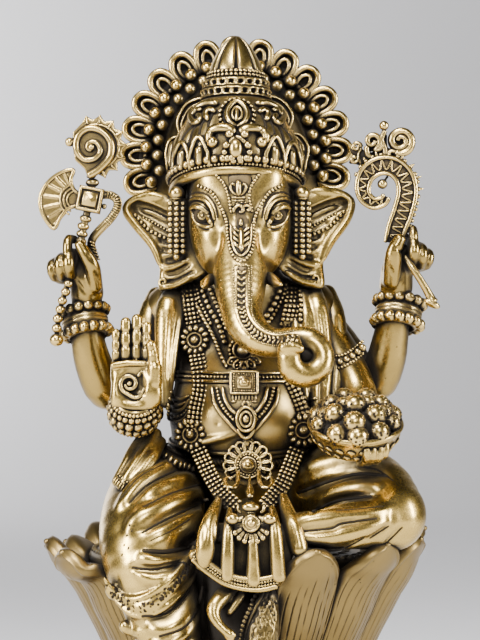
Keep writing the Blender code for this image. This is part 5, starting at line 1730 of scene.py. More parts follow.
def make_blessing_hand():
    """The open palm: four jointed fingers, a thumb, and a plain scroll in place of any sacred letter."""
    clay = Clay((-38, -34, 98), (-15, -18, 132), cell=0.28, reach=2.4)
    clay.plate([seen(u, v, -27)[[0, 2]] for u, v in
                [(-32.3, 116.8), (-32.4, 113.2), (-31.7, 109.6), (-29.8, 106.2), (-26.6, 104.2),
                 (-23.4, 104.6), (-20.9, 107.6), (-20.0, 111.6), (-20.8, 115.4),
                 (-22.6, 117.2)]], -27.0, 1.9, soft=1.8,
               blend=0.5)
    clay.ball(seen(-22.4, 110.0, -28.6), (2.7, 1.8, 4.6), (0, -8, 0), blend=1.4)
    clay.ball(seen(-30.0, 109.8, -28.4), (2.0, 1.4, 4.4), (0, 14, 0), blend=1.4)
    clay.ball(seen(-26.2, 105.8, -28.4), (4.0, 1.4, 1.6), blend=1.2)
    clay.limb(route((-31.6, 116.2, -28.8, 0.8), (-28, 116.7, -29.0, 0.85), (-23.8, 116.6, -28.8, 0.8)),
              blend=0.5)
    clay.ball(seen(-27.3, 111.4, -30.2), (3.4, 1.8, 3.7), (0, 20, 0), blend=1.1, cut=True)
    clay.plate([seen(u, v, -26)[[0, 2]] for u, v in
                [(-31.8, 116.6), (-31.4, 123.4), (-29.4, 126.2), (-25.0, 127.0), (-22.8, 125.0),
                 (-22.2, 116.6)]],
               -26.0, 0.7, soft=0.3, blend=0.2)
    for u, root, tip, wide in ((-31.0, 117.3, 125.0, 1.12), (-28.55, 117.5, 127.8, 1.36),
                               (-25.8, 117.5, 128.6, 1.34), (-23.4, 117.4, 126.8, 1.16)):
        joint = (tip - root) / 3
        clay.limb(route((u, root - 1.5, -26.6, 1.0), (u, tip - 1.2, -27.2, 0.85)), blend=0.2)
        for i in range(3):
            low, high = root + joint * i + 0.75 * wide, root + joint * (i + 1) - 0.62 * wide
            clay.limb(route((u, low, -27.4, wide), (u, high, -27.6 + 0.1 * i, wide * 0.96)), blend=0.1)
    for a, b, wide in (((-21.4, 112.0), (-21.3, 115.4), 2.0), ((-21.5, 116.4), (-21.7, 118.6), 1.6),
                       ((-21.8, 119.6), (-22.2, 121.2), 1.4)):
        clay.limb(route((*a, -28.6, wide), (*b, -29.0, wide * 0.92)), blend=0.35)
    surface = clay_surface(clay)
    groove(clay, surface, [(-24.6, 114.4), (-24.9, 111.6), (-23.9, 109)], width=0.35, sink=0.0, blend=0.5,
           default=-29)
    stock = Stock()
    stock.clay(clay)
    stock.make("blessing_palm", SKIN, "cast_brass", "blessing_hand")
    surface = stock.surface()
    emblem = Stock()
    spot = Spot(seen(-27.2, 111.2, -28.6), (0, -1, 0.1))
    curl = spiral((-0.4, 0.3), 2.5, 300, -470, 0.6, 20)
    spot.tube(emblem, [(3.2, -0.6), (2.4, -2.4), (0.9, -3.0), *curl[2:]], 0.55, 0.5, spacing=0.25, ends=0.6)
    spot.tube(emblem, [(1.6, 2.0), (2.6, 3.2), (3.4, 2.2)], 0.45, 0.5, spacing=0.25, ends=0.6)
    spot.bead(emblem, -0.4, 0.3, 0.5, 0.6)
    emblem.make("palm_scroll", CHASED, "cast_brass")


# ---------------------------------------------------------------- axe and goad

GOAD_DEPTH = -11.5


def make_axe_shaft(depth):
    shaft = Stock()
    for u, v, size in ((-38.6, 152.8, 1.45), (-39.2, 150.9, 1.45), (-39.5, 149.0, 1.4), (-39.7, 147.2, 1.3)):
        shaft.beads([seen(u, v, depth)], size, fine=True, stretch=(1.05, 1, 0.72), spin=turn((0, 12, 0)))
    for (u, v), size in zip(((-42.9, 136.6), (-43.6, 134.5), (-44.4, 132.3), (-45.0, 130.1), (-45.6, 127.8),
                             (-45.8, 125.4), (-45.9, 122.5)), (1.15, 1.2, 1.2, 1.2, 1.25, 1.3, 1.75)):
        shaft.beads([seen(u, v, depth - 0.6)], size, fine=True, stretch=(1, 1, 0.9), spin=turn((0, 16, 0)))
    core = route((-45.9, 123, depth, 0.7), (-45.0, 130, depth, 0.7), (-42.6, 138, depth, 0.8),
                 (-40.6, 144, depth, 0.9), (-39.0, 151, depth, 0.9), (-37.7, 157, depth, 1.0),
                 (-36.9, 162, depth, 1.0))
    shaft.tube(smooth_path(core, 0.6), sides=12)
    shaft.beads([seen(-36.9, 161.8, depth)], 1.35, fine=True, stretch=(1.25, 1, 0.85))
    shaft.beads([seen(-37.2, 163.4, depth)], 1.0, fine=True, stretch=(1.2, 1, 0.6))
    shaft.make("axe_beaded_shaft", CHASED, "cast_brass", "axe_shaft")


def make_axe_blade(depth):
    """The fan of ribs with its rim and arcs, and the square boss on the shaft."""
    blade = Clay((-53, -18, 148), (-32, -7, 168), cell=0.25, reach=1.8)
    outline = [(-41.6, 164.9), (-43.6, 164.8), (-46.4, 163.4), (-48.6, 161.2), (-49.9, 158.4),
               (-49.8, 155.2), (-48.2, 152.0), (-46.4, 150.4), (-45.0, 153.0), (-43.0, 155.3),
               (-40.2, 156.4), (-40.0, 158.6), (-41.6, 160.2), (-42.3, 162.6)]
    clipped = smooth_path([seen(u, v, depth)[[0, 2]] for u, v in outline], 0.5, closed=True)
    blade.plate(clipped, depth, 0.75, soft=0.3)
    hub = (-41.0, 157.5)
    for angle in (112, 130, 150, 172, 194, 214, 232):
        bearing = math.radians(angle)
        a = (hub[0] + 4.1 * math.cos(bearing), hub[1] + 4.1 * math.sin(bearing))
        b = (hub[0] + 8.2 * math.cos(bearing), hub[1] + 7.6 * math.sin(bearing))
        blade.limb(route((*a, depth - 0.8, 0.28), (*b, depth - 0.8, 0.3)), blend=0.15)
    stock = Stock()
    stock.clay(blade)
    rim = [np.append(seen(u, v, depth - 0.75), 0.5) for u, v in smooth_path(outline, 0.4, closed=True)]
    stock.tube(rim, sides=8, closed=True)
    for reach in (2.2, 3.1, 4.0):
        arc_points = []
        for a in range(105, 246, 10):
            place = (hub[0] + reach * math.cos(math.radians(a)), hub[1] + reach * math.sin(math.radians(a)))
            arc_points.append(np.append(seen(*place, depth - 0.8), 0.3))
        stock.tube(smooth_path(arc_points, 0.3), sides=6)
    spot = Spot(seen(-37.5, 157.6, depth), (0.02, -1, 0), spin=-11)
    for half, low, high in ((3.05, -1.8, 1.7), (1.75, 1.6, 2.35)):
        block(stock, spot, half, half, low, high, 0.25, 0.9)
    for side in ([(-2.6, -2.6), (2.6, -2.6)], [(-2.6, 2.6), (2.6, 2.6)],
                 [(-2.6, -2.6), (-2.6, 2.6)], [(2.6, -2.6), (2.6, 2.6)]):
        spot.tube(stock, side, 0.42, 1.8, ends=0.9)
    stock.sheet(np.array([[spot.at(x, y, 2.3) for x, y in ((-1.2, -1.2), (1.2, -1.2), (1.2, 1.2),
                                                           (-1.2, 1.2))],
                          [spot.at(0, 0, 3.3)] * 4]), around=True)
    stock.make("axe_fan_blade", CHASED, "cast_brass", "axe_blade")


def make_scroll_head(depth):
    """The scroll on top of the axe: a toothed plate with a coiled band and spokes."""
    head = Stock()
    eye = (-36.9, 170.2)
    back = Clay((-47, -17, 158), (-24, -7, 182), cell=0.3, reach=1.8)
    crest = []
    for i in range(17):
        angle = math.radians(118 - 12.6 * i)
        reach = 8.1 if i % 2 else 6.8
        crest.append((eye[0] + 0.6 + reach * math.cos(angle), eye[1] + 0.5 + reach * math.sin(angle)))
    shape = [*crest, (-36.2, 164.0), (-38.2, 163.4), (-38.8, 165.2), (-41.2, 167.4), (-41.9, 171.0),
             (-41.8, 174.3)]
    back.plate([seen(u, v, depth)[[0, 2]] for u, v in shape], depth, 0.9, soft=0.12)
    head.clay(back)
    band = [(-37.8, 163.6), (-35.2, 165.2), (-32.6, 168.2), (-32.3, 171.8), (-34.4, 174.6), (-37.8, 175.4),
            (-40.4, 173.6), (-41.0, 170.4), (-39.2, 167.8), (-36.6, 167.7), (-34.9, 169.6), (-35.9, 171.8),
            (-37.7, 171.8), (-38.1, 170.4), (-37.2, 170.0)]
    rows = smooth_path([[*seen(u, v, depth - 1.2), 1.0 - 0.03 * i] for i, (u, v) in enumerate(band)], 0.35)
    head.tube(rows, sides=10)
    outer = [(eye[0] + 0.9 + 5.6 * math.cos(math.radians(a)), eye[1] + 0.6 + 5.5 * math.sin(math.radians(a)))
             for a in range(-62, 132, 12)]
    head.tube(smooth_path([np.append(seen(u, v, depth - 0.9), 0.42) for u, v in outer], 0.4), sides=7)
    head.beads([seen(-42.6, 172.0, depth - 0.8)], 1.15, fine=True)
    head.beads([seen(eye[0] - 0.3, eye[1] + 0.5, depth - 1.4)], 0.8, fine=True)
    for u0, v0 in crest[1::2]:
        spoke = ((3 * u0 + eye[0]) / 4, (3 * v0 + eye[1]) / 4)
        head.tube(smooth_path(route((u0, v0, depth - 0.7, 0.22), (*spoke, depth - 1.0, 0.42)), 0.4), sides=6)
    head.make("axe_scroll_head", CHASED, "cast_brass", "scroll_finial")


def make_axe_hook(depth):
    """The strap that hooks out from the boss and back to the hand, with rims and cross strokes."""
    hook = Stock()
    line = [(-34.3, 158.8), (-32.4, 158.7), (-30.8, 157.6), (-30.7, 155.6), (-32.3, 152.9), (-34.6, 150.5),
            (-36.6, 148.2), (-37.2, 146.2), (-36.6, 143.8), (-36.2, 142.6)]
    rows = smooth_path([[*seen(u, v, depth + 0.3 * i), 0.95] for i, (u, v) in enumerate(line)], 0.4)
    hook.tube(rows, sides=12, normal=(0, -1, 0), flat=0.7)
    for edge in (-1, 1):
        path = smooth_path(line, 0.4)
        ahead = np.gradient(path, axis=0)
        ahead /= np.linalg.norm(ahead, axis=1, keepdims=True)
        aside = path + edge * 0.85 * np.stack([-ahead[:, 1], ahead[:, 0]], axis=1)
        count = len(aside)
        hook.tube([[*seen(u, v, depth - 0.5 + 3.0 * i / count), 0.24] for i, (u, v) in enumerate(aside)],
                  sides=6)
    fine_line = smooth_path(line, 0.62)
    for i, ((u, v), (du, dv)) in enumerate(zip(fine_line[2:18], np.diff(fine_line, axis=0)[2:18])):
        span_by = np.array([-dv, du]) / math.hypot(du, dv) * 0.8
        hook.tube(route((u - span_by[0], v - span_by[1], depth - 0.6, 0.16),
                        (u + span_by[0], v + span_by[1], depth - 0.6, 0.16)),
                  sides=6)
    for i in range(6):
        hook.beads([seen(-37.1 + 0.25 * i, 146.9 - 0.8 * i, depth + 1.0)], 1.0, stretch=(1, 0.9, 0.34),
                   spin=turn((0, 18, 0)))
    hook.beads([seen(-34.0, 155.9, depth)], 0.7, fine=True)
    hook.make("axe_hook_strap", CHASED, "cast_brass", "axe_hook")


def make_axe():
    depth = -12.0
    make_axe_shaft(depth)
    make_axe_blade(depth)
    make_scroll_head(depth)
    make_axe_hook(depth)


def make_goad():
    """The goad: a flat strap that coils at the top, chased with a zigzag, with scrolls over it and a rod."""
    depth = GOAD_DEPTH
    middle = [(38.3, 146.6, 2.1), (39.2, 150.4, 2.3), (40.7, 154.6, 2.4), (41.8, 159.4, 2.35),
              (41.0, 163.3, 2.3), (38.3, 165.8, 2.2), (34.8, 166.0, 2.1), (31.8, 164.0, 1.9),
              (30.7, 161.0, 1.65), (31.2, 158.4, 1.45), (33.3, 156.7, 1.25),
              (35.6, 157.1, 1.05), (36.6, 158.4, 0.8)]
    path = smooth_path(middle, 0.35)
    ahead = np.gradient(path[:, :2], axis=0)
    ahead /= np.linalg.norm(ahead, axis=1, keepdims=True)
    across = np.stack([-ahead[:, 1], ahead[:, 0]], axis=1)
    stock = Stock()
    strap = Stock()
    section = [(-1.0, 0.55), (-1.0, -0.55), (-0.82, -0.75), (0.82, -0.75), (1.0, -0.55), (1.0, 0.55),
               (0.82, 0.75), (-0.82, 0.75)]
    grid = []
    for (u, v, half), side in zip(path, across):
        grid.append([seen(u + side[0] * s * half, v + side[1] * s * half, depth + h) for s, h in section])
    first, last = np.mean(grid[0], axis=0), np.mean(grid[-1], axis=0)
    grid = np.array([[first] * len(section), *grid, [last] * len(section)])
    strap.sheet(grid, around=True)
    # Painted shade: the strap's ground between its rims is darker brass.
    strap.make("goad_strap_ground", SUNK_SHADE, "cast_brass")
    for edge in (-1, 1):
        rim = [[*seen(u + side[0] * edge * half * 0.93, v + side[1] * edge * half * 0.93, depth - 0.9), 0.55]
               for (u, v, half), side in zip(path, across)]
        stock.tube(rim, sides=8)
    steps = range(2, len(path) - 4, 3)
    zigzag = []
    for n, i in enumerate(steps):
        u, v, half = path[i]
        reach = half * (0.52 if n % 2 else -0.62)
        zigzag.append([*seen(u + across[i][0] * reach, v + across[i][1] * reach, depth - 0.85), 0.26])
    stock.tube(smooth_path(zigzag, 0.25), sides=6)
    outside = []
    for i in range(8, len(path) - 30, 4):
        u, v, half = path[i]
        outside.append(seen(u - across[i][0] * (half + 0.45), v - across[i][1] * (half + 0.45), depth - 0.3))
    stock.beads(outside, 0.62)
    for i in range(40, 78, 6):
        u, v, half = path[min(i, len(path) - 1)]
        side = across[min(i, len(path) - 1)]
        tip = route((u - side[0] * (half + 0.2), v - side[1] * (half + 0.2), depth - 0.4, 0.62),
                    (u - side[0] * (half + 1.7), v - side[1] * (half + 1.7), depth - 0.4, 0.12))
        stock.tube(tip, sides=8)
    ball_at = seen(35.6, 161.5, depth)
    stock.beads([ball_at], 1.25, fine=True)
    stock.tube(route((35.6, 161.5, depth, 0.3), (36.9, 163.4, depth, 0.35)), sides=6)
    ring = spiral((40.1, 172.3), 3.3, 250, 640, 0.80, 30)
    stock.tube(smooth_path([[*seen(u, v, depth), 1.0 - 0.014 * i] for i, (u, v) in enumerate(ring)], 0.35),
               sides=9)
    second = spiral((33.1, 172.2), 2.1, -60, 430, 0.75, 20)
    stock.tube(smooth_path([[*seen(u, v, depth), 0.75 - 0.01 * i] for i, (u, v) in enumerate(second)], 0.3),
               sides=8)
    for stem in ([(36.2, 167.6), (36.2, 170.4), (35.4, 172.6), (36.2, 174.8)],
                 [(36.4, 168), (37.6, 169.6), (39.2, 169.4)],
                 [(33.6, 167.6), (32.0, 168.8), (31.6, 170.8)],
                 [(36.0, 171.2), (34.6, 170.0), (33.6, 170.2)]):
        stock.tube(smooth_path([[*seen(u, v, depth), 0.65] for u, v in stem], 0.4), sides=8)
    for centre, start, sweep in (((29.2, 170.8), 0, 400), ((28.6, 167.8), 40, -380)):
        curl = spiral(centre, 1.15, start, sweep, 0.7, 14)
        stock.tube(smooth_path([[*seen(u, v, depth + 1), 0.5] for u, v in curl], 0.3), sides=8)
    stock.tube(smooth_path(route((30.4, 166.4, depth + 1, 0.45), (29.6, 168.6, depth + 1, 0.4),
                                 (30.4, 170.4, depth + 1, 0.4)), 0.4), sides=7)
    stock.beads([seen(36.0, 176.1, depth)], 1.2, fine=True)
    rod = smooth_path(route((41.2, 143.4, depth - 1.5, 0.85), (43.2, 140.4, depth - 2.2, 0.9),
                            (45.8, 136.4, depth - 2.2, 0.95), (47.6, 133.2, depth - 2.0, 1.15),
                            (48.1, 132.0, depth - 2.0, 1.5)), 0.4)
    stock.tube(rod, sides=12)
    flare = Spot(seen(48.0, 131.6, depth - 2.0), (0.0, -1, 0.1), spin=-28)
    flare.bead(stock, 0, 0, 0, 1.25, (1.75, 0.8, 1.1))
    stock.make("goad_coiled_strap", CHASED, "cast_brass", "goad")


def make_goad_web():
    """Painted shade: dark brass behind the scrolls of the goad, where the casting isn't pierced."""
    depth = GOAD_DEPTH
    web = Stock()
    for line in ([(27.6, 170.2, 0.3), (28.8, 169.6, 1.1), (31.0, 168.6, 1.3), (33.6, 167.9, 1.3)],
                 [(27.4, 166.8, 0.3), (28.8, 167.4, 1.0), (30.8, 167.4, 1.3), (32.6, 168.0, 1.2)],
                 [(33.4, 168.4, 1.2), (36.0, 169.2, 1.5), (39.4, 168.6, 1.0)],
                 [(36.2, 168.6, 1.3), (35.8, 171.4, 1.0), (36.2, 173.8, 0.6)],
                 [(32.4, 170.0, 1.0), (33.2, 172.6, 1.4), (33.6, 173.2, 0.6)]):
        rows = smooth_path([[*seen(u, v, depth + 1.5), r] for u, v, r in line], 0.4)
        web.tube(rows, sides=12, normal=(0, -1, 0), flat=0.5)
    disc = Spot(seen(39.9, 172.4, depth + 0.6), (0, -1, 0))
    disc.turned(web, [(2.9, -0.5), (3.0, 0.0), (2.8, 0.2), (0, 0.2)], steps=40)
    web.make("goad_scroll_web", PAINTED_SHADE, "cast_brass")


# ---------------------------------------------------------------- shawls and body ornaments

def make_shawl(name, node, folds):
    """A shawl over the shoulder: upright folds side by side that narrow as they fall."""
    rows = np.vstack([route(*fold) for fold in folds])
    clay = Clay(rows[:, :3].min(0) - 6, rows[:, :3].max(0) + 6, cell=0.4)
    for line in folds:
        clay.limb(route(*line), blend=0.7, spacing=2)
    surface = clay_surface(clay)
    for line in folds:
        middle = [(u + 0.35 * r, v) for u, v, _, r in line[1:-1]]
        groove(clay, surface, middle, width=0.45, sink=0.1, blend=0.8)
    stock = Stock()
    stock.clay(clay)
    stock.make(name, CLOTH, "cast_brass", node)
    return stock.surface()


def make_shawls():
    left_of_view = [
        [(-20.8, 133.2, 2, 2.6), (-22.4, 128, -2, 3.2), (-22.8, 119, -5, 3.2), (-22.2, 110, -8, 2.6),
         (-21.0, 104, -9, 2.0)],
        [(-17.2, 133.6, -4, 2.2), (-18.0, 130, -7.5, 3.1), (-18.4, 122, -10, 2.9), (-18.7, 113, -12, 2.0),
         (-18.7, 106.6, -13, 1.2)],
        [(-15.2, 133, -5, 1.4), (-16.0, 127.5, -8, 1.7), (-17.0, 119.5, -10.5, 1.4),
         (-17.6, 111, -12.5, 1.0), (-17.8, 107, -13, 0.8)],
    ]
    right_of_view = [
        [(21.6, 133.8, 2, 2.6), (23.4, 128, -2, 3.0), (24.0, 119, -6, 2.8), (23.4, 110, -9, 2.4),
         (22.4, 104.6, -10, 1.8)],
        [(18.2, 134.4, -4, 2.3), (19.4, 130, -7.5, 2.7), (20.6, 121, -10.5, 2.3), (21.0, 112, -12.5, 1.8),
         (20.8, 106, -13.5, 1.3)],
        [(15.6, 133.6, -6, 1.7), (16.6, 128, -9.5, 1.9), (17.6, 119, -12.5, 1.7), (18.4, 111, -14.2, 1.3),
         (18.8, 106.2, -14.6, 0.9)],
        [(13.6, 131, -8, 1.2), (14.4, 122, -12, 1.5), (15.4, 114, -14.5, 1.3), (16.4, 108.4, -15.4, 0.9)],
    ]
    surfaces = [
        make_shawl("right_shawl_folds", "right_shawl", left_of_view),
        make_shawl("left_shawl_folds", "left_shawl", right_of_view),
    ]
    hem = Stock()
    for side, lines in ((-1, [(-18.2, 106.6), (-17.4, 105.2), (-15.6, 104.6), (-13.6, 105.4),
                              (-12.2, 107.6)]),
                        (1, [(15.2, 107.6), (16.4, 105.6), (18.2, 104.6), (20.2, 105.0), (21.2, 106.4)])):
        over = [TORSO, *surfaces]
        lay_tube(hem, over, lines, 0.55, 0.4, default=-18)
        lay_beads(hem, over, [(u, v - 1.3) for u, v in lines], 0.42, 0.86, 0.4, default=-18)
        lay_tube(hem, over, [(u, v - 2.5) for u, v in lines], 0.45, 0.3, default=-18)
        for step in (1.5, 3.0):
            lay_tube(hem, over, [(u - side * 0.3 * step, v + step) for u, v in lines[:-1]], 0.5, 0.1,
                     default=-18)
    hem.make("shawl_hems", CLOTH, "cast_brass")
    return surfaces


def girdle(surfaces, level, count, lift=0.0, centre=(0.5, 0.0)):
    """Points round the body at a level, found by looking inwards. level is a height or a function of
    the bearing."""
    points = []
    for i in range(count):
        bearing = 2 * math.pi * i / count
        height = level(bearing) if callable(level) else level
        out = Vector((math.cos(bearing), math.sin(bearing), 0))
        start = Vector((centre[0], centre[1], height)) + out * 60
        best = None
        for surface in surfaces:
            point, _, _, distance = surface.ray_cast(start, -out)
            if point is not None and (best is None or distance < best[0]):
                best = (distance, np.array(point))
        if best is not None:
            points.append(best[1] + np.array(out) * lift)
    return np.array(points)


def settled(points, passes=4):
    for _ in range(passes):
        points = (np.roll(points, 1, axis=0) + 2 * points + np.roll(points, -1, axis=0)) / 4
    return points


def hanging_guide():
    """Where the garland and pendants hang in the air, from the belly forward to the top of the sash."""
    rows = []
    for v, y in ((95, -20.5), (92, -22), (89, -24.5), (86, -28), (82.5, -34), (79.5, -41), (77, -46),
                 (70, -47.5)):
        rows.append([seen(u, v, y) for u in (-14, -5, 5, 16)])
    guide = Stock()
    guide.sheet(np.array(rows))
    return guide.surface()


def make_chest_ornament(over):
    """The belly band with a stepped buckle, the beaded loop under it, and the pendants down the front."""
    stock = Stock()
    on = dict(default=-20)
    for height, size in ((112.6, 0.5), (114.6, 0.5)):
        ring = settled(girdle([TORSO], height, 150, 0.25))
        stock.tube(with_radius(ring, size), sides=7, closed=True)
    ring = settled(girdle([TORSO], 113.6, 128, 0.2))
    stock.beads(ring, 0.5)
    spot = spot_on([TORSO], 1.05, 111.7, 0.9, lean=0.8, **on)
    for half_x, half_y, low, high in ((3.35, 2.75, -1.6, 0.6), (2.5, 2.0, 0.5, 0.35), (1.7, 1.45, 0.3, 1.0),
                                      (1.0, 0.9, 0.9, 1.5)):
        block(stock, spot, half_x, half_y, low, high, 0.15, 0.93)
    half_x, half_y = 3.2, 2.65
    for side in ([(-half_x, -half_y), (half_x, -half_y)], [(-half_x, half_y), (half_x, half_y)],
                 [(-half_x, -half_y), (-half_x, half_y)], [(half_x, -half_y), (half_x, half_y)]):
        spot.tube(stock, side, 0.32, 0.75, ends=0.95)
    for i in range(9):
        for sy in (-2.05, 2.05):
            spot.bead(stock, -2.4 + 0.6 * i, sy, 0.62, 0.27, fine=False)
    for i in range(6):
        for sx in (-2.5, 2.5):
            spot.bead(stock, sx, -1.5 + 0.6 * i, 0.62, 0.27, fine=False)
    spot.bead(stock, 0, 0, 1.5, 0.45)
    for i in range(8):
        spot.tube(stock, [(-2.75 + 0.78 * i, -2.9), (-2.75 + 0.78 * i, -4.3)], 0.31, 0.1, ends=0.8)
    for sx in (-2.5, 2.5):
        spot.tube(stock, [(sx - 0.5, -4.6), (sx + 0.5, -4.6)], 0.36, 0.1, ends=0.9)

    outer = [(-6.9, 110.6), (-6.3, 107.1), (-4.7, 104.2), (-2.6, 101.8), (-0.7, 99.7), (1.5, 98.4)]
    inner = [(-4.3, 110.6), (-3.6, 107.6), (-2.3, 105.3), (-0.7, 103.9)]
    between = [(-5.6, 110.2), (-4.95, 107.4), (-3.5, 104.8), (-1.6, 102.7)]
    for line, mirrored in zip((outer, inner, between), (mirror(outer, 1.3), mirror(inner, 1.2),
                                                        mirror(between, 1.25))):
        for path in (line, mirrored):
            if line is between:
                lay_beads(stock, [TORSO], path, 0.42, 0.86, 0.5, **on)
            else:
                lay_tube(stock, [TORSO], path, 0.5, 0.4, ends=0.8, **on)
    spot = spot_on([TORSO], 1.5, 102.7, 0.6, lean=0.8, **on)
    spot.turned(stock, [(2.35, -1.2), (2.45, 0.2), (1.9, 0.3), (0, 0.3)], steps=36)
    spot.ring(stock, 2.2, 0.42, 0.45, stretch=1.32)
    spot.ring(stock, 1.35, 0.34, 0.6, stretch=1.35)
    spot.bead(stock, 0, 0, 0.5, 0.8, (1, 1.3, 0.9))
    spot.bead(stock, 0, 0, 1.25, 0.28)
    spot.tube(stock, [(-2.0, -2.4), (-1.2, -3.8), (0, -4.6), (1.2, -3.8), (2.0, -2.4)], 0.42, 0.2, ends=0.8)
    for sx in (-0.75, 0.75):
        spot.tube(stock, [(sx * 0.3, 4.2), (sx, 3.7), (sx * 0.8, 3.0)], 0.34, 0.3, ends=0.8)

    spot = spot_on(over, 1.7, 96.9, 0.5, lean=0.8, default=-24)
    spot.bead(stock, 0, 0, 0.2, 0.95, (0.9, 1.35, 0.8))
    spot = spot_on(over, 2.05, 91.1, 1.0, lean=0.85, default=-24)
    fan_flower(stock, spot)
    for hook in ([(-0.5, 88.6), (-0.5, 85.6), (-1.5, 84.2), (-3.2, 84.4), (-3.8, 85.9), (-2.9, 86.9),
                  (-2.1, 86.2)],
                 [(4.7, 88.6), (4.9, 85.6), (6.0, 84.2), (7.7, 84.4), (8.2, 85.9), (7.4, 87.0), (6.6, 86.2)]):
        lay_tube(stock, over, hook, 0.62, 1.5, default=-26)
    drop = [(2.45, 87.6), (2.45, 85.6), (2.5, 83.8), (2.55, 82.2)]
    rows, _ = draped(over, drop, 0.4, 1.0, default=-30)
    stock.tube(with_radius(rows, np.interp(np.linspace(0, 1, len(rows)), [0, 0.35, 0.75, 1],
                                           [0.25, 0.4, 1.15, 0.7])), sides=12)
    stock.make("chest_and_belly_jewels", CHASED, "bright_brass", "chest_ornament")


def fan_flower(stock, spot):
    """The flower on the lap: a fan of open loops round a ringed boss, with a loop on top to hang it by."""
    spot.turned(stock, [(5.0, -0.9), (5.1, -0.4), (4.6, -0.2), (0, -0.1)], steps=48)
    for i in range(11):
        angle = math.radians(-25 + 23 * i)
        out = np.array([math.cos(angle), math.sin(angle)])
        side = np.array([-math.sin(angle), math.cos(angle)])
        loop = []
        for along, across in ((2.7, -0.35), (3.7, -0.95), (4.9, -1.12), (5.7, -0.6), (5.85, 0), (5.7, 0.6),
                              (4.9, 1.12), (3.7, 0.95), (2.7, 0.35)):
            loop.append(tuple(out * along + side * across))
        spot.tube(stock, loop, 0.33, 0.5, ends=0.8)
        spot.tube(stock, [tuple(out * 3.2), tuple(out * 4.0), tuple(out * 4.8)], 0.24, 0.2)
    spot.circle_of_beads(stock, 2.55, 0.36, 22, 0.45)
    spot.ring(stock, 3.15, 0.34, 0.45)
    spot.turned(stock, [(2.2, 0.0), (2.15, 0.5), (1.9, 0.75), (1.6, 0.5), (1.45, 1.1), (0.8, 1.5),
                        (0, 1.55)], steps=32)
    spot.bead(stock, 0, 0, 1.6, 0.55)
    spot.tube(stock, [(-1.2, 5.6), (0, 7.0), (1.2, 5.6)], 0.4, 0.3, ends=0.8)
    spot.ring(stock, 0.45, 0.26, 0.3, centre=(0, 5.9))


def make_garland(over):
    """The long garland of bead strands, its three rosettes and the clasp at its foot."""
    stock = Stock()
    left = [(-12.9, 136.4), (-12.2, 131), (-11.3, 126), (-10.4, 119), (-9.6, 114), (-9.6, 109.5),
            (-10.6, 104.4), (-11.0, 97), (-9.6, 93.0), (-7.3, 87.9), (-4.6, 83.6), (-1.2, 80.2)]
    right = [(13.4, 136), (13.2, 130), (12.2, 122), (11.2, 113.5), (13.2, 108.2), (14.7, 103.6), (14.9, 97),
             (13.6, 93.2), (12.0, 89.0), (9.9, 84.6), (6.4, 80.4)]
    for line in (left, right):
        strand(stock, over, line)
    for u, v, radius in ((-11.1, 122.4, 3.5), (-12.0, 99.0, 3.75), (15.3, 100.1, 3.9)):
        rosette(stock, spot_on(over, u, v, 1.2, default=-18, lean=0.7), radius)
    clasp = Spot(seen(2.75, 76.6, -47.6), (0, -1, 0.15))
    clasp.turned(stock, [(2.0, -1.5), (2.05, 0.2), (1.7, 0.75), (0, 0.9)], steps=36)
    clasp.ring(stock, 1.75, 0.32, 0.6)
    clasp.bead(stock, 0, 0, 0.6, 1.0, (1, 1, 0.9))
    clasp.bead(stock, 0, 0, 1.45, 0.3)
    clasp.bead(stock, -0.1, 3.75, -0.4, 1.25, (1.65, 0.95, 1.1))
    clasp.bead(stock, -0.1, 2.5, -0.3, 0.6, (1.4, 0.8, 1))
    for side in (-1, 1):
        clasp.tube(stock, [(side * 1.4, 1.4), (side * 2.6, 1.0), (side * 3.9, 1.5), (side * 4.6, 2.2)],
                   0.85, -0.5, ends=0.6)
        clasp.bead(stock, side * 4.2, 1.1, -0.5, 1.35, (1.25, 1.0, 1.0))
        clasp.tube(stock, [(side * 2.2, 2.4), (side * 2.9, 3.2), (side * 3.0, 4.2)], 0.4, -0.4, ends=0.6)
    for i in range(7):
        angle = math.radians(-150 + 20 * i)
        x, y = math.cos(angle), math.sin(angle)
        clasp.tube(stock, [(2.1 * x, 2.1 * y), (3.2 * x, 3.2 * y), (4.1 * x, 4.1 * y)], 0.55, -0.6, ends=0.5)
        clasp.bead(stock, 4.2 * x, 4.2 * y, -0.6, 0.72)
    behind = []
    for t in np.linspace(0, 1, 40):
        angle = math.pi * (0.02 + 0.96 * t)
        behind.append((0.3 + 13.2 * math.cos(angle), -1.5 + 12.6 * math.sin(angle),
                       136.5 + 3.5 * math.sin(angle)))
    stock.tube(with_radius(smooth_path(behind, 0.6), 1.2), sides=10)
    for drop in (-0.7, 0.7):
        path = smooth_path(behind, 1.0)
        stock.beads(path + np.array([0, 0.9, drop]), 0.6)
    stock.make("bead_garland", CHASED, "bright_brass", "garland")


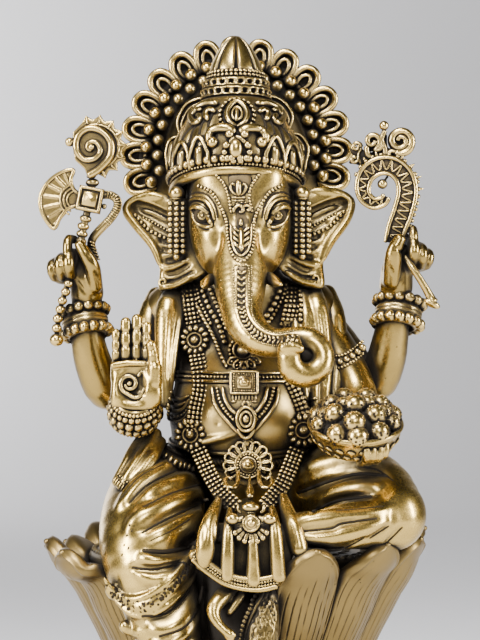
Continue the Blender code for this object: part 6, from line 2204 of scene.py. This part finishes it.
def make_necklaces(over):
    """The strings at the neck, the half-rosette under the trunk and the flower that hangs from it."""
    stock = Stock()
    for line, size in (
        ([(-9.1, 134.5), (-7.4, 130.2), (-5.6, 127.2), (-4.5, 124.2), (-3.8, 121.8)], 0.72),
        ([(-13.8, 134.6), (-14.0, 130), (-12.8, 126.4)], 0.55),
        ([(-7.2, 135.0), (-5.9, 131.6), (-4.4, 128.2), (-3.4, 125.4)], 0.62),
        ([(-10.4, 134.8), (-9.9, 132.2), (-8.6, 129.4), (-7.2, 126.6)], 0.5),
        ([(9.6, 134.4), (8.3, 131.2), (6.6, 128.6)], 0.78),
        ([(11.6, 137), (10.4, 132.6), (8.6, 129.2), (7.0, 127)], 0.6),
        ([(14.9, 135.6), (15.4, 131), (15.2, 127.4)], 0.6),
        ([(12.0, 131), (12.2, 128), (11.6, 125.4)], 0.55),
    ):
        lay_beads(stock, over, line, size, size * 1.9, 0.5, default=-14)
    twist = [(-10.2, 130.4), (-8.8, 127.6), (-7.2, 124.8), (-5.8, 121.8), (-4.6, 118.6), (-3.2, 115.4)]
    rows, _ = draped(over, twist, 0.55, 0.5, default=-14)
    stock.tube(with_radius(rows, 0.4), sides=8)
    for i in range(0, len(rows) - 1, 2):
        stock.beads([rows[i]], 0.98, stretch=(1.05, 0.9, 0.5), spin=turn((0, 40, 0)))
    spot = spot_on(over, 0.7, 119.6, 1.2, default=-16, lean=0.8)
    spot.turned(stock, [(3.5, -1.0), (3.6, 0.0), (3.0, 0.2), (2.7, 0.0), (2.6, 0.7), (2.1, 0.9), (1.9, 0.4),
                        (1.6, 0.5), (1.2, 1.2), (0, 1.6)], steps=40)
    spot.circle_of_beads(stock, 3.2, 0.5, 18, 0.4)
    spot.ring(stock, 2.35, 0.22, 0.95)
    for u, v, angle in ((-1.6, 117.1, 215), (-0.5, 116.3, 245), (1.0, 116.0, 270), (2.5, 116.5, 300),
                        (3.5, 117.4, 330)):
        spot = spot_on(over, u, v, 1.0, default=-16, lean=0.8, spin=angle)
        loop = [(-1.0, -0.3), (0.2, -0.85), (1.2, -0.5), (1.5, 0), (1.2, 0.5), (0.2, 0.85), (-1.0, 0.3)]
        spot.tube(stock, loop, 0.3, 0.1, ends=0.9)
        spot.bead(stock, 0.4, 0, 0.1, 0.34)
    spot = spot_on(over, 1.0, 114.9, 1.0, default=-16, lean=0.8)
    spot.bead(stock, 0, 0, 0.2, 0.6, (0.9, 1.3, 0.9))
    stock.make("neck_jewels", CHASED, "bright_brass")


def make_belt():
    """The rope belt between two plain rims, round the hips, with its runs over the legs."""
    stock = Stock()

    def level(bearing):
        return 95.6 - 2.6 * max(0.0, -math.sin(bearing))

    rope = settled(girdle([TORSO], level, 132, 0.5))
    stock.tube(with_radius(rope, 0.85), sides=8, closed=True)
    for point in rope:
        out = np.array([point[0], point[1] - 2, 0.0])
        spin = facing(out, (0, 0, 1)) @ turn((0, 0, 34))
        stock.beads([point], 1.18, stretch=(0.42, 1.0, 0.9), spin=spin)
    upper = settled(girdle([TORSO], lambda b: level(b) + 2.2, 132, 0.2))
    stock.tube(with_radius(upper, 0.55), sides=8, closed=True)
    lower = settled(girdle([TORSO], lambda b: level(b) - 1.9, 132, 0.1))
    stock.tube(with_radius(lower, 0.45), sides=8, closed=True)
    for run in ([(-21.6, 94.7), (-17.2, 91.9), (-13.6, 90.3), (-11.0, 89.3)],
                [(5.8, 91.2), (10.4, 91.9), (15.4, 94.0)]):
        points, _ = draped([TORSO, RIGHT_LEG, LEFT_LEG], run, 1.25, 0.5, default=-20)
        for point in points:
            stock.beads([point], 1.15, stretch=(0.48, 1.0, 1.0), spin=turn((0, 24, 0)))
        lay_tube(stock, [TORSO, RIGHT_LEG, LEFT_LEG], [(u + 0.8, v + 2.2) for u, v in run], 0.6, 0.4,
                 default=-20)
    stock.make("rope_belt", CHASED, "bright_brass", "waist_belt")


def make_side_sash_end():
    """The end of the sash that hangs beside the belt, with a fringe of short strokes and a bead row."""
    clay = Clay((-36, -34, 78), (-14, -6, 106), cell=0.35, reach=2.5)
    for line in (
        [(-22.4, 100, -17, 1.6), (-26.0, 95, -21, 2.0), (-28.6, 90.4, -25, 1.8), (-30.6, 87.2, -28, 1.5)],
        [(-21.0, 99, -18, 1.5), (-24.0, 94, -23, 2.0), (-26.9, 89.4, -27, 1.9), (-29.4, 86.2, -29, 1.6)],
        [(-19.8, 97, -18, 1.4), (-22.2, 92.6, -24, 1.8), (-25.2, 88.6, -27.5, 1.6), (-28.2, 85.4, -29, 1.3)],
    ):
        clay.limb(route(*line), blend=0.5, spacing=1.5)
    surface = clay_surface(clay)
    for line in ([(-25.2, 96.4), (-28.2, 91.6), (-30.2, 88.4)], [(-22.6, 96), (-25.8, 91.2), (-28.2, 87.8)],
                 [(-21, 94), (-24, 90), (-26.6, 87.2)]):
        groove(clay, surface, line, width=0.4, sink=0.0, blend=0.4, default=-25)
    cloth = Stock()
    cloth.clay(clay)
    surface = cloth.surface()
    for i in range(9):
        u, v = -31.2 + 0.46 * i, 87.4 - 0.46 * i
        lay_tube(cloth, [surface], [(u + 0.35, v + 0.7), (u - 0.35, v - 0.5)], 0.34, 0.2, default=-28)
    lay_beads(cloth, [surface], [(-30.4, 88.8), (-28.6, 87.2), (-26.2, 86.0)], 0.36, 0.75, 0.2, default=-28)
    cloth.make("side_sash_end", CLOTH, "cast_brass")


def make_front_sash():
    """The pleated fall between the knees: rounded pleats with deep gaps and a curved beaded hem."""
    clay = Clay((-16, -54, 56), (20, -24, 94), cell=0.35, reach=3.0)

    def back(x, z):
        return np.interp(z, [60, 78, 80, 81], [-42.4, -42.2, -40, -36])

    clay.plate([(-7.0, 80.2), (-8.6, 76), (-10.4, 70), (-6.4, 67.4), (0, 66), (5, 66.2), (11, 67.4),
                (12.6, 74), (9.4, 80.2)], back, 1.5, soft=0.6)
    clay.limb([(1.5, -40, 79.0, 2.2), (1.5, -30, 81.4, 2.2), (1.5, -20, 84, 2.4)], blend=0.8,
              squash=((0, 0.2, 1), 1.4))
    for pleat in (
        [(-5.4, 82.2, -36, 1.1), (-6.6, 79.4, -43, 1.7), (-7.9, 75.0, -46.4, 2.4), (-8.7, 69.8, -47.2, 2.5),
         (-9.0, 67.0, -46.4, 2.1)],
        [(-2.6, 80, -40, 0.8), (-2.9, 76, -46.0, 1.35), (-3.1, 70, -47.0, 1.75), (-3.2, 63.4, -46.8, 1.8)],
        [(3.2, 79, -40, 0.8), (3.2, 73.8, -46.4, 1.2), (3.3, 69, -47.0, 1.5), (3.35, 65.6, -46.8, 1.75),
         (3.4, 62.4, -46.4, 2.2)],
        [(8.0, 80.4, -40, 0.9), (8.6, 76.6, -46.0, 1.45), (9.2, 70, -47.0, 1.8), (9.6, 63.4, -46.8, 1.9)],
        [(10.8, 83.2, -33, 1.2), (11.9, 79.4, -39, 1.9), (13.4, 75.4, -43, 2.4), (14.8, 70.4, -44.5, 2.3)],
    ):
        clay.limb(route(*pleat), blend=0.6, spacing=1)
    surface = clay_surface(clay)
    for crease in ([(-6.2, 79), (-6.4, 74), (-6.1, 70)], [(-9.0, 76), (-9.3, 72)],
                   [(12.4, 77), (13.4, 73), (14, 70.6)]):
        groove(clay, surface, crease, width=0.35, sink=0.05, blend=0.5, default=-46)
    clay.soften()
    upper = [(-11.0, 69.9), (-9.2, 68.2), (-7.2, 66.5), (-4.0, 64.3), (-0.3, 63.1), (3.7, 62.7),
             (6.4, 62.9), (9.4, 63.6)]
    lower = [(-11.8, 67.7), (-10, 66), (-8.0, 64.3), (-4.2, 61.8), (-0.3, 60.5), (3.7, 60.0), (6.4, 60.2),
             (9.2, 60.9)]
    middle = [((a + c) / 2, (b + d) / 2) for (a, b), (c, d) in zip(upper, lower)]
    for (u, v), (p, q) in zip(smooth_path(middle, 0.9)[:-1], smooth_path(middle, 0.9)[1:]):
        clay.limb(route((u, v, -45.8, 1.5), (p, q, -45.8, 1.5)), blend=0.2)
    stock = Stock()
    stock.clay(clay)
    for line in (upper, lower):
        rows = smooth_path([[*seen(u, v, -47.3), 0.62] for u, v in line], 0.4)
        stock.tube(rows, sides=9)
    for shift in (-0.45, 0.45):
        row = smooth_path([(u, v + shift) for u, v in middle], 0.78)
        stock.beads([seen(u, v, -47.5) for u, v in row], 0.38)
    stock.make("pleated_front_fall", CLOTH, "cast_brass", "front_sash")


def make_mouse():
    """The mouse under the sash: furry back with a beaded strap, raised forelegs and a small head below.
    A dark mass behind them is painted shade, and the back and strap are brass darkened as painted shade.
    """
    # Painted shade: a near-black mass in the recess behind the forelegs.
    shade = Clay((-16, -50, 26), (14, -28, 72), cell=0.5, reach=3.0)
    shade.limb(route((-3, 64, -35, 6.5), (-2, 54, -37, 6.5), (0, 44, -38, 6.5), (1, 36, -38, 6)), blend=1,
               spacing=2)
    body = Stock()
    body.clay(shade)
    body.make("mouse_flank", PAINTED_SHADE, "cast_brass")
    front = Clay((-14, -56, 26), (10, -32, 68), cell=0.35, reach=3.0)
    front.ball(seen(-3.6, 41.5, -45.5), (3.6, 4.4, 3.4), (0, 25, 0), blend=1.2)
    front.ball(seen(-6.4, 39.4, -48.4), (1.7, 2.2, 1.5), (0, 25, 0), blend=1.4)
    for u, v in ((-1.4, 45.4), (-5.0, 45.2)):
        front.ball(seen(u, v, -44.5), (1.6, 0.8, 1.7), blend=0.5)
    for station in (
        [(-1.8, 60.6, -41, 1.9), (-4.2, 58.6, -43.5, 2.1), (-6.3, 56.0, -45.5, 1.9),
         (-6.5, 53.6, -46.5, 1.55), (-5.2, 51.4, -47.2, 1.25), (-3.6, 49.8, -47.6, 1.2),
         (-2.6, 49.0, -47.8, 1.35)],
        [(0.4, 58.6, -42.6, 1.1), (-1.2, 56.6, -43.6, 1.2), (-2.6, 54.6, -44.4, 0.9)],
    ):
        front.limb(route(*station), blend=0.6, spacing=1)
    for i in range(3):
        front.limb(route((-2.8 - 0.4 * i, 49.4 - 0.5 * i, -47.8, 0.5),
                         (-1.3 - 0.5 * i, 48.6 - 0.8 * i, -48.2, 0.4)), blend=0.2)
    limbs = Stock()
    limbs.clay(front)
    limbs.make("mouse_forelegs_and_head", CLOTH, "cast_brass")
    clay = Clay((-4, -56, 26), (14, -32, 66), cell=0.35, reach=3.0)
    clay.limb(route((6.6, 60, -41, 2.6), (6.2, 54, -43, 3.6), (5.4, 47, -44, 4.2), (4.4, 38, -43.5, 4.6)),
              blend=1.0,
              spacing=2)
    rng = np.random.default_rng(7)
    surface = clay_surface(clay)
    for _ in range(150):
        u, v = rng.uniform(2.6, 9.4), rng.uniform(34, 60)
        point, normal = hit([surface], u, v, -30)
        if point[1] < -38:
            lean = rng.uniform(-0.4, 0.4)
            low = point - np.array([lean, 0, 1.0])
            clay.limb([[*(point + normal * 0.02), 0.26], [*(low + normal * 0.02), 0.2]], blend=0.2, cut=True)
    stock = Stock()
    stock.clay(clay)
    surface = stock.surface()
    lay_beads(stock, [surface], [(4.6, 59.4), (3.0, 56.4), (1.4, 53.0), (0.3, 49.6), (-0.2, 46), (0.2, 42)],
              0.62, 1.15, 0.3,
              default=-45)
    lay_tube(stock, [surface], [(6.0, 59.4), (4.4, 56.2), (2.8, 52.8), (1.7, 49.4), (1.2, 46), (1.6, 42)],
             0.42, 0.2, default=-45)
    stock.make("mouse_and_strap", SHADED_MOUSE, "cast_brass", "mouse")


# ---------------------------------------------------------------- bowl of sweets

BOWL_CENTRE = seen(28.9, 101.0, -35.0)
BOWL_TILT = (22, 0, 0)


def make_bowl():
    """The tilted bowl, with two rows of slanted beads round its outside."""
    centre, spin = BOWL_CENTRE, turn(BOWL_TILT)
    stock = Stock()
    profile = smooth_path([(0, -5.6), (3.6, -5.4), (6.6, -3.9), (8.8, -1.4), (9.8, 0.6), (10.5, 1.0),
                           (11.0, 0.7), (11.1, 0.0), (10.5, -0.9), (9.6, -2.9), (7.4, -5.6), (4.0, -7.1),
                           (0, -7.4)], 0.5)
    stock.turned(profile, centre, spin, steps=96)
    for i in range(22):
        angle = 2 * math.pi * i / 22
        for reach, height, size in ((9.95, -2.6, 1.0), (8.6, -4.5, 0.95)):
            turned_by = angle + (math.pi / 22 if reach < 9 else 0)
            c, s = math.cos(turned_by), math.sin(turned_by)
            place = centre + spin @ np.array([reach * c, reach * s, height])
            own = spin @ turn((0, 0, math.degrees(turned_by))) @ turn((0, 35, 0))
            stock.beads([place], size, stretch=(0.45, 1.1, 1.0), spin=own)
    rim = [np.append(centre + spin @ np.array([10.75 * math.cos(a), 10.75 * math.sin(a), 0.6]), 0.62)
           for a in np.linspace(0, 2 * math.pi, 90, endpoint=False)]
    stock.tube(rim, sides=9, closed=True)
    stock.make("chased_bowl", SKIN, "cast_brass", "bowl")


def make_sweets():
    """A heap of round sweets on a dark bed, each covered with grains, bright ones above and dark sunk ones
    mostly on the lower side. The dark bed and the dark grains are painted shade.
    """
    centre, spin = BOWL_CENTRE, turn(BOWL_TILT)
    mound = Clay(centre - 14, centre + 14, cell=0.5, reach=3)
    mound.ball(centre - spin[:, 2] * 0.2, (9.4, 9.4, 6.6), BOWL_TILT)
    surface = clay_surface(mound)
    rng = np.random.default_rng(11)
    # Painted shade: a dark bed in the gaps between the sweets.
    bed = Stock()
    bed.clay(mound)
    bed.make("heap_bed", PAINTED_SHADE, "cast_brass")
    heap = Stock()
    shaded_dots = Stock()
    places = []
    for u, v, size in ((28.7, 106.1, 2.5), (23.7, 103.9, 2.4), (33.8, 103.6, 2.35), (28.6, 101.8, 2.5),
                       (20.0, 101.2, 2.0), (37.9, 101.7, 1.9), (24.4, 98.9, 2.35), (29.4, 98.3, 2.45),
                       (34.7, 99.5, 2.3), (21.4, 103.8, 1.8), (36.0, 104.4, 1.7), (31.9, 106.6, 1.8),
                       (25.9, 106.2, 1.8)):
        places.append((hit([surface], u, v, -33)[0], size * 1.1))
    for lean, count in ((38, 4), (70, 7)):
        for i in range(count):
            round_by = math.radians(12 + 156 * i / (count - 1))
            sloped = math.radians(lean)
            own = (9.4 * math.sin(sloped) * math.cos(round_by), 9.4 * math.sin(sloped) * math.sin(round_by),
                   6.6 * math.cos(sloped))
            places.append((centre - spin[:, 2] * 0.2 + spin @ np.array(own), 2.35))
    for point, size in places:
        heap.beads([point], size, fine=True)
        for k in range(70):
            height = 1 - 2 * (k + 0.5) / 70
            angle = k * 2.39996 + rng.uniform(-0.2, 0.2)
            flat = math.sqrt(1 - height * height)
            out = np.array([flat * math.cos(angle), flat * math.sin(angle), height])
            grain = 0.2 + rng.uniform(-0.04, 0.05)
            # Painted shade: grains on the lower side, and some higher up, are dark and sunk.
            if out[2] < rng.uniform(-0.3, 0.6):
                shaded_dots.beads([point + out * (size - 0.08)], grain + 0.1)
            else:
                heap.beads([point + out * (size - 0.1)], grain)
    shaded_dots.make("sweet_shaded_dots", PAINTED_SHADE, "cast_brass")
    heap.make("grainy_sweets", CHASED, "cast_brass", "laddu_heap")


def make_bowl_hand():
    """The palm and the four fingers that bear the bowl."""
    hand = Clay((12, -50, 84), (46, -22, 106), cell=0.35, reach=2.5)
    hand.limb(route((31.0, 96.2, -27, 3.2), (31.4, 94.8, -33, 3.0), (32.4, 94.8, -37, 2.4)), blend=1)
    for i, (u, v) in enumerate(((31.6, 93.4), (33.2, 93.6), (34.9, 93.9), (36.4, 94.9))):
        hand.limb(route((u - 1.4, v - 1.4, -34, 1.3), (u - 0.4, v - 0.9, -40.5, 1.2),
                        (u, v, -43.5 + 0.7 * i, 1.05),
                        (u + 0.1, v + 1.5, -44.2 + 0.9 * i, 0.85)), blend=0.3, spacing=1)
    palm = Stock()
    palm.clay(hand)
    palm.make("bowl_bearing_hand", SKIN, "cast_brass", "bowl_hand")


make_stage()
make_camera_and_lights()
TORSO = make_torso()
RIGHT_LEG = make_right_leg()
LEFT_LEG = make_left_leg()
make_feet()
make_head()
make_ears()
make_side_strands()
make_brow_band()
make_crown_dome()
make_crown_top()
make_halo()
make_leaf_border()
make_petals()
make_lotus_cup()
make_lower_lotus()
make_plinth()
make_arms()
make_bangles()
make_rear_hands()
make_blessing_hand()
make_axe()
make_goad()
make_goad_web()
SHAWLS = make_shawls()
DRESSED = [TORSO, *SHAWLS, hanging_guide()]
make_chest_ornament(DRESSED)
make_garland(DRESSED)
make_necklaces(DRESSED)
make_belt()
make_side_sash_end()
make_front_sash()
make_mouse()
make_bowl()
make_sweets()
make_bowl_hand()
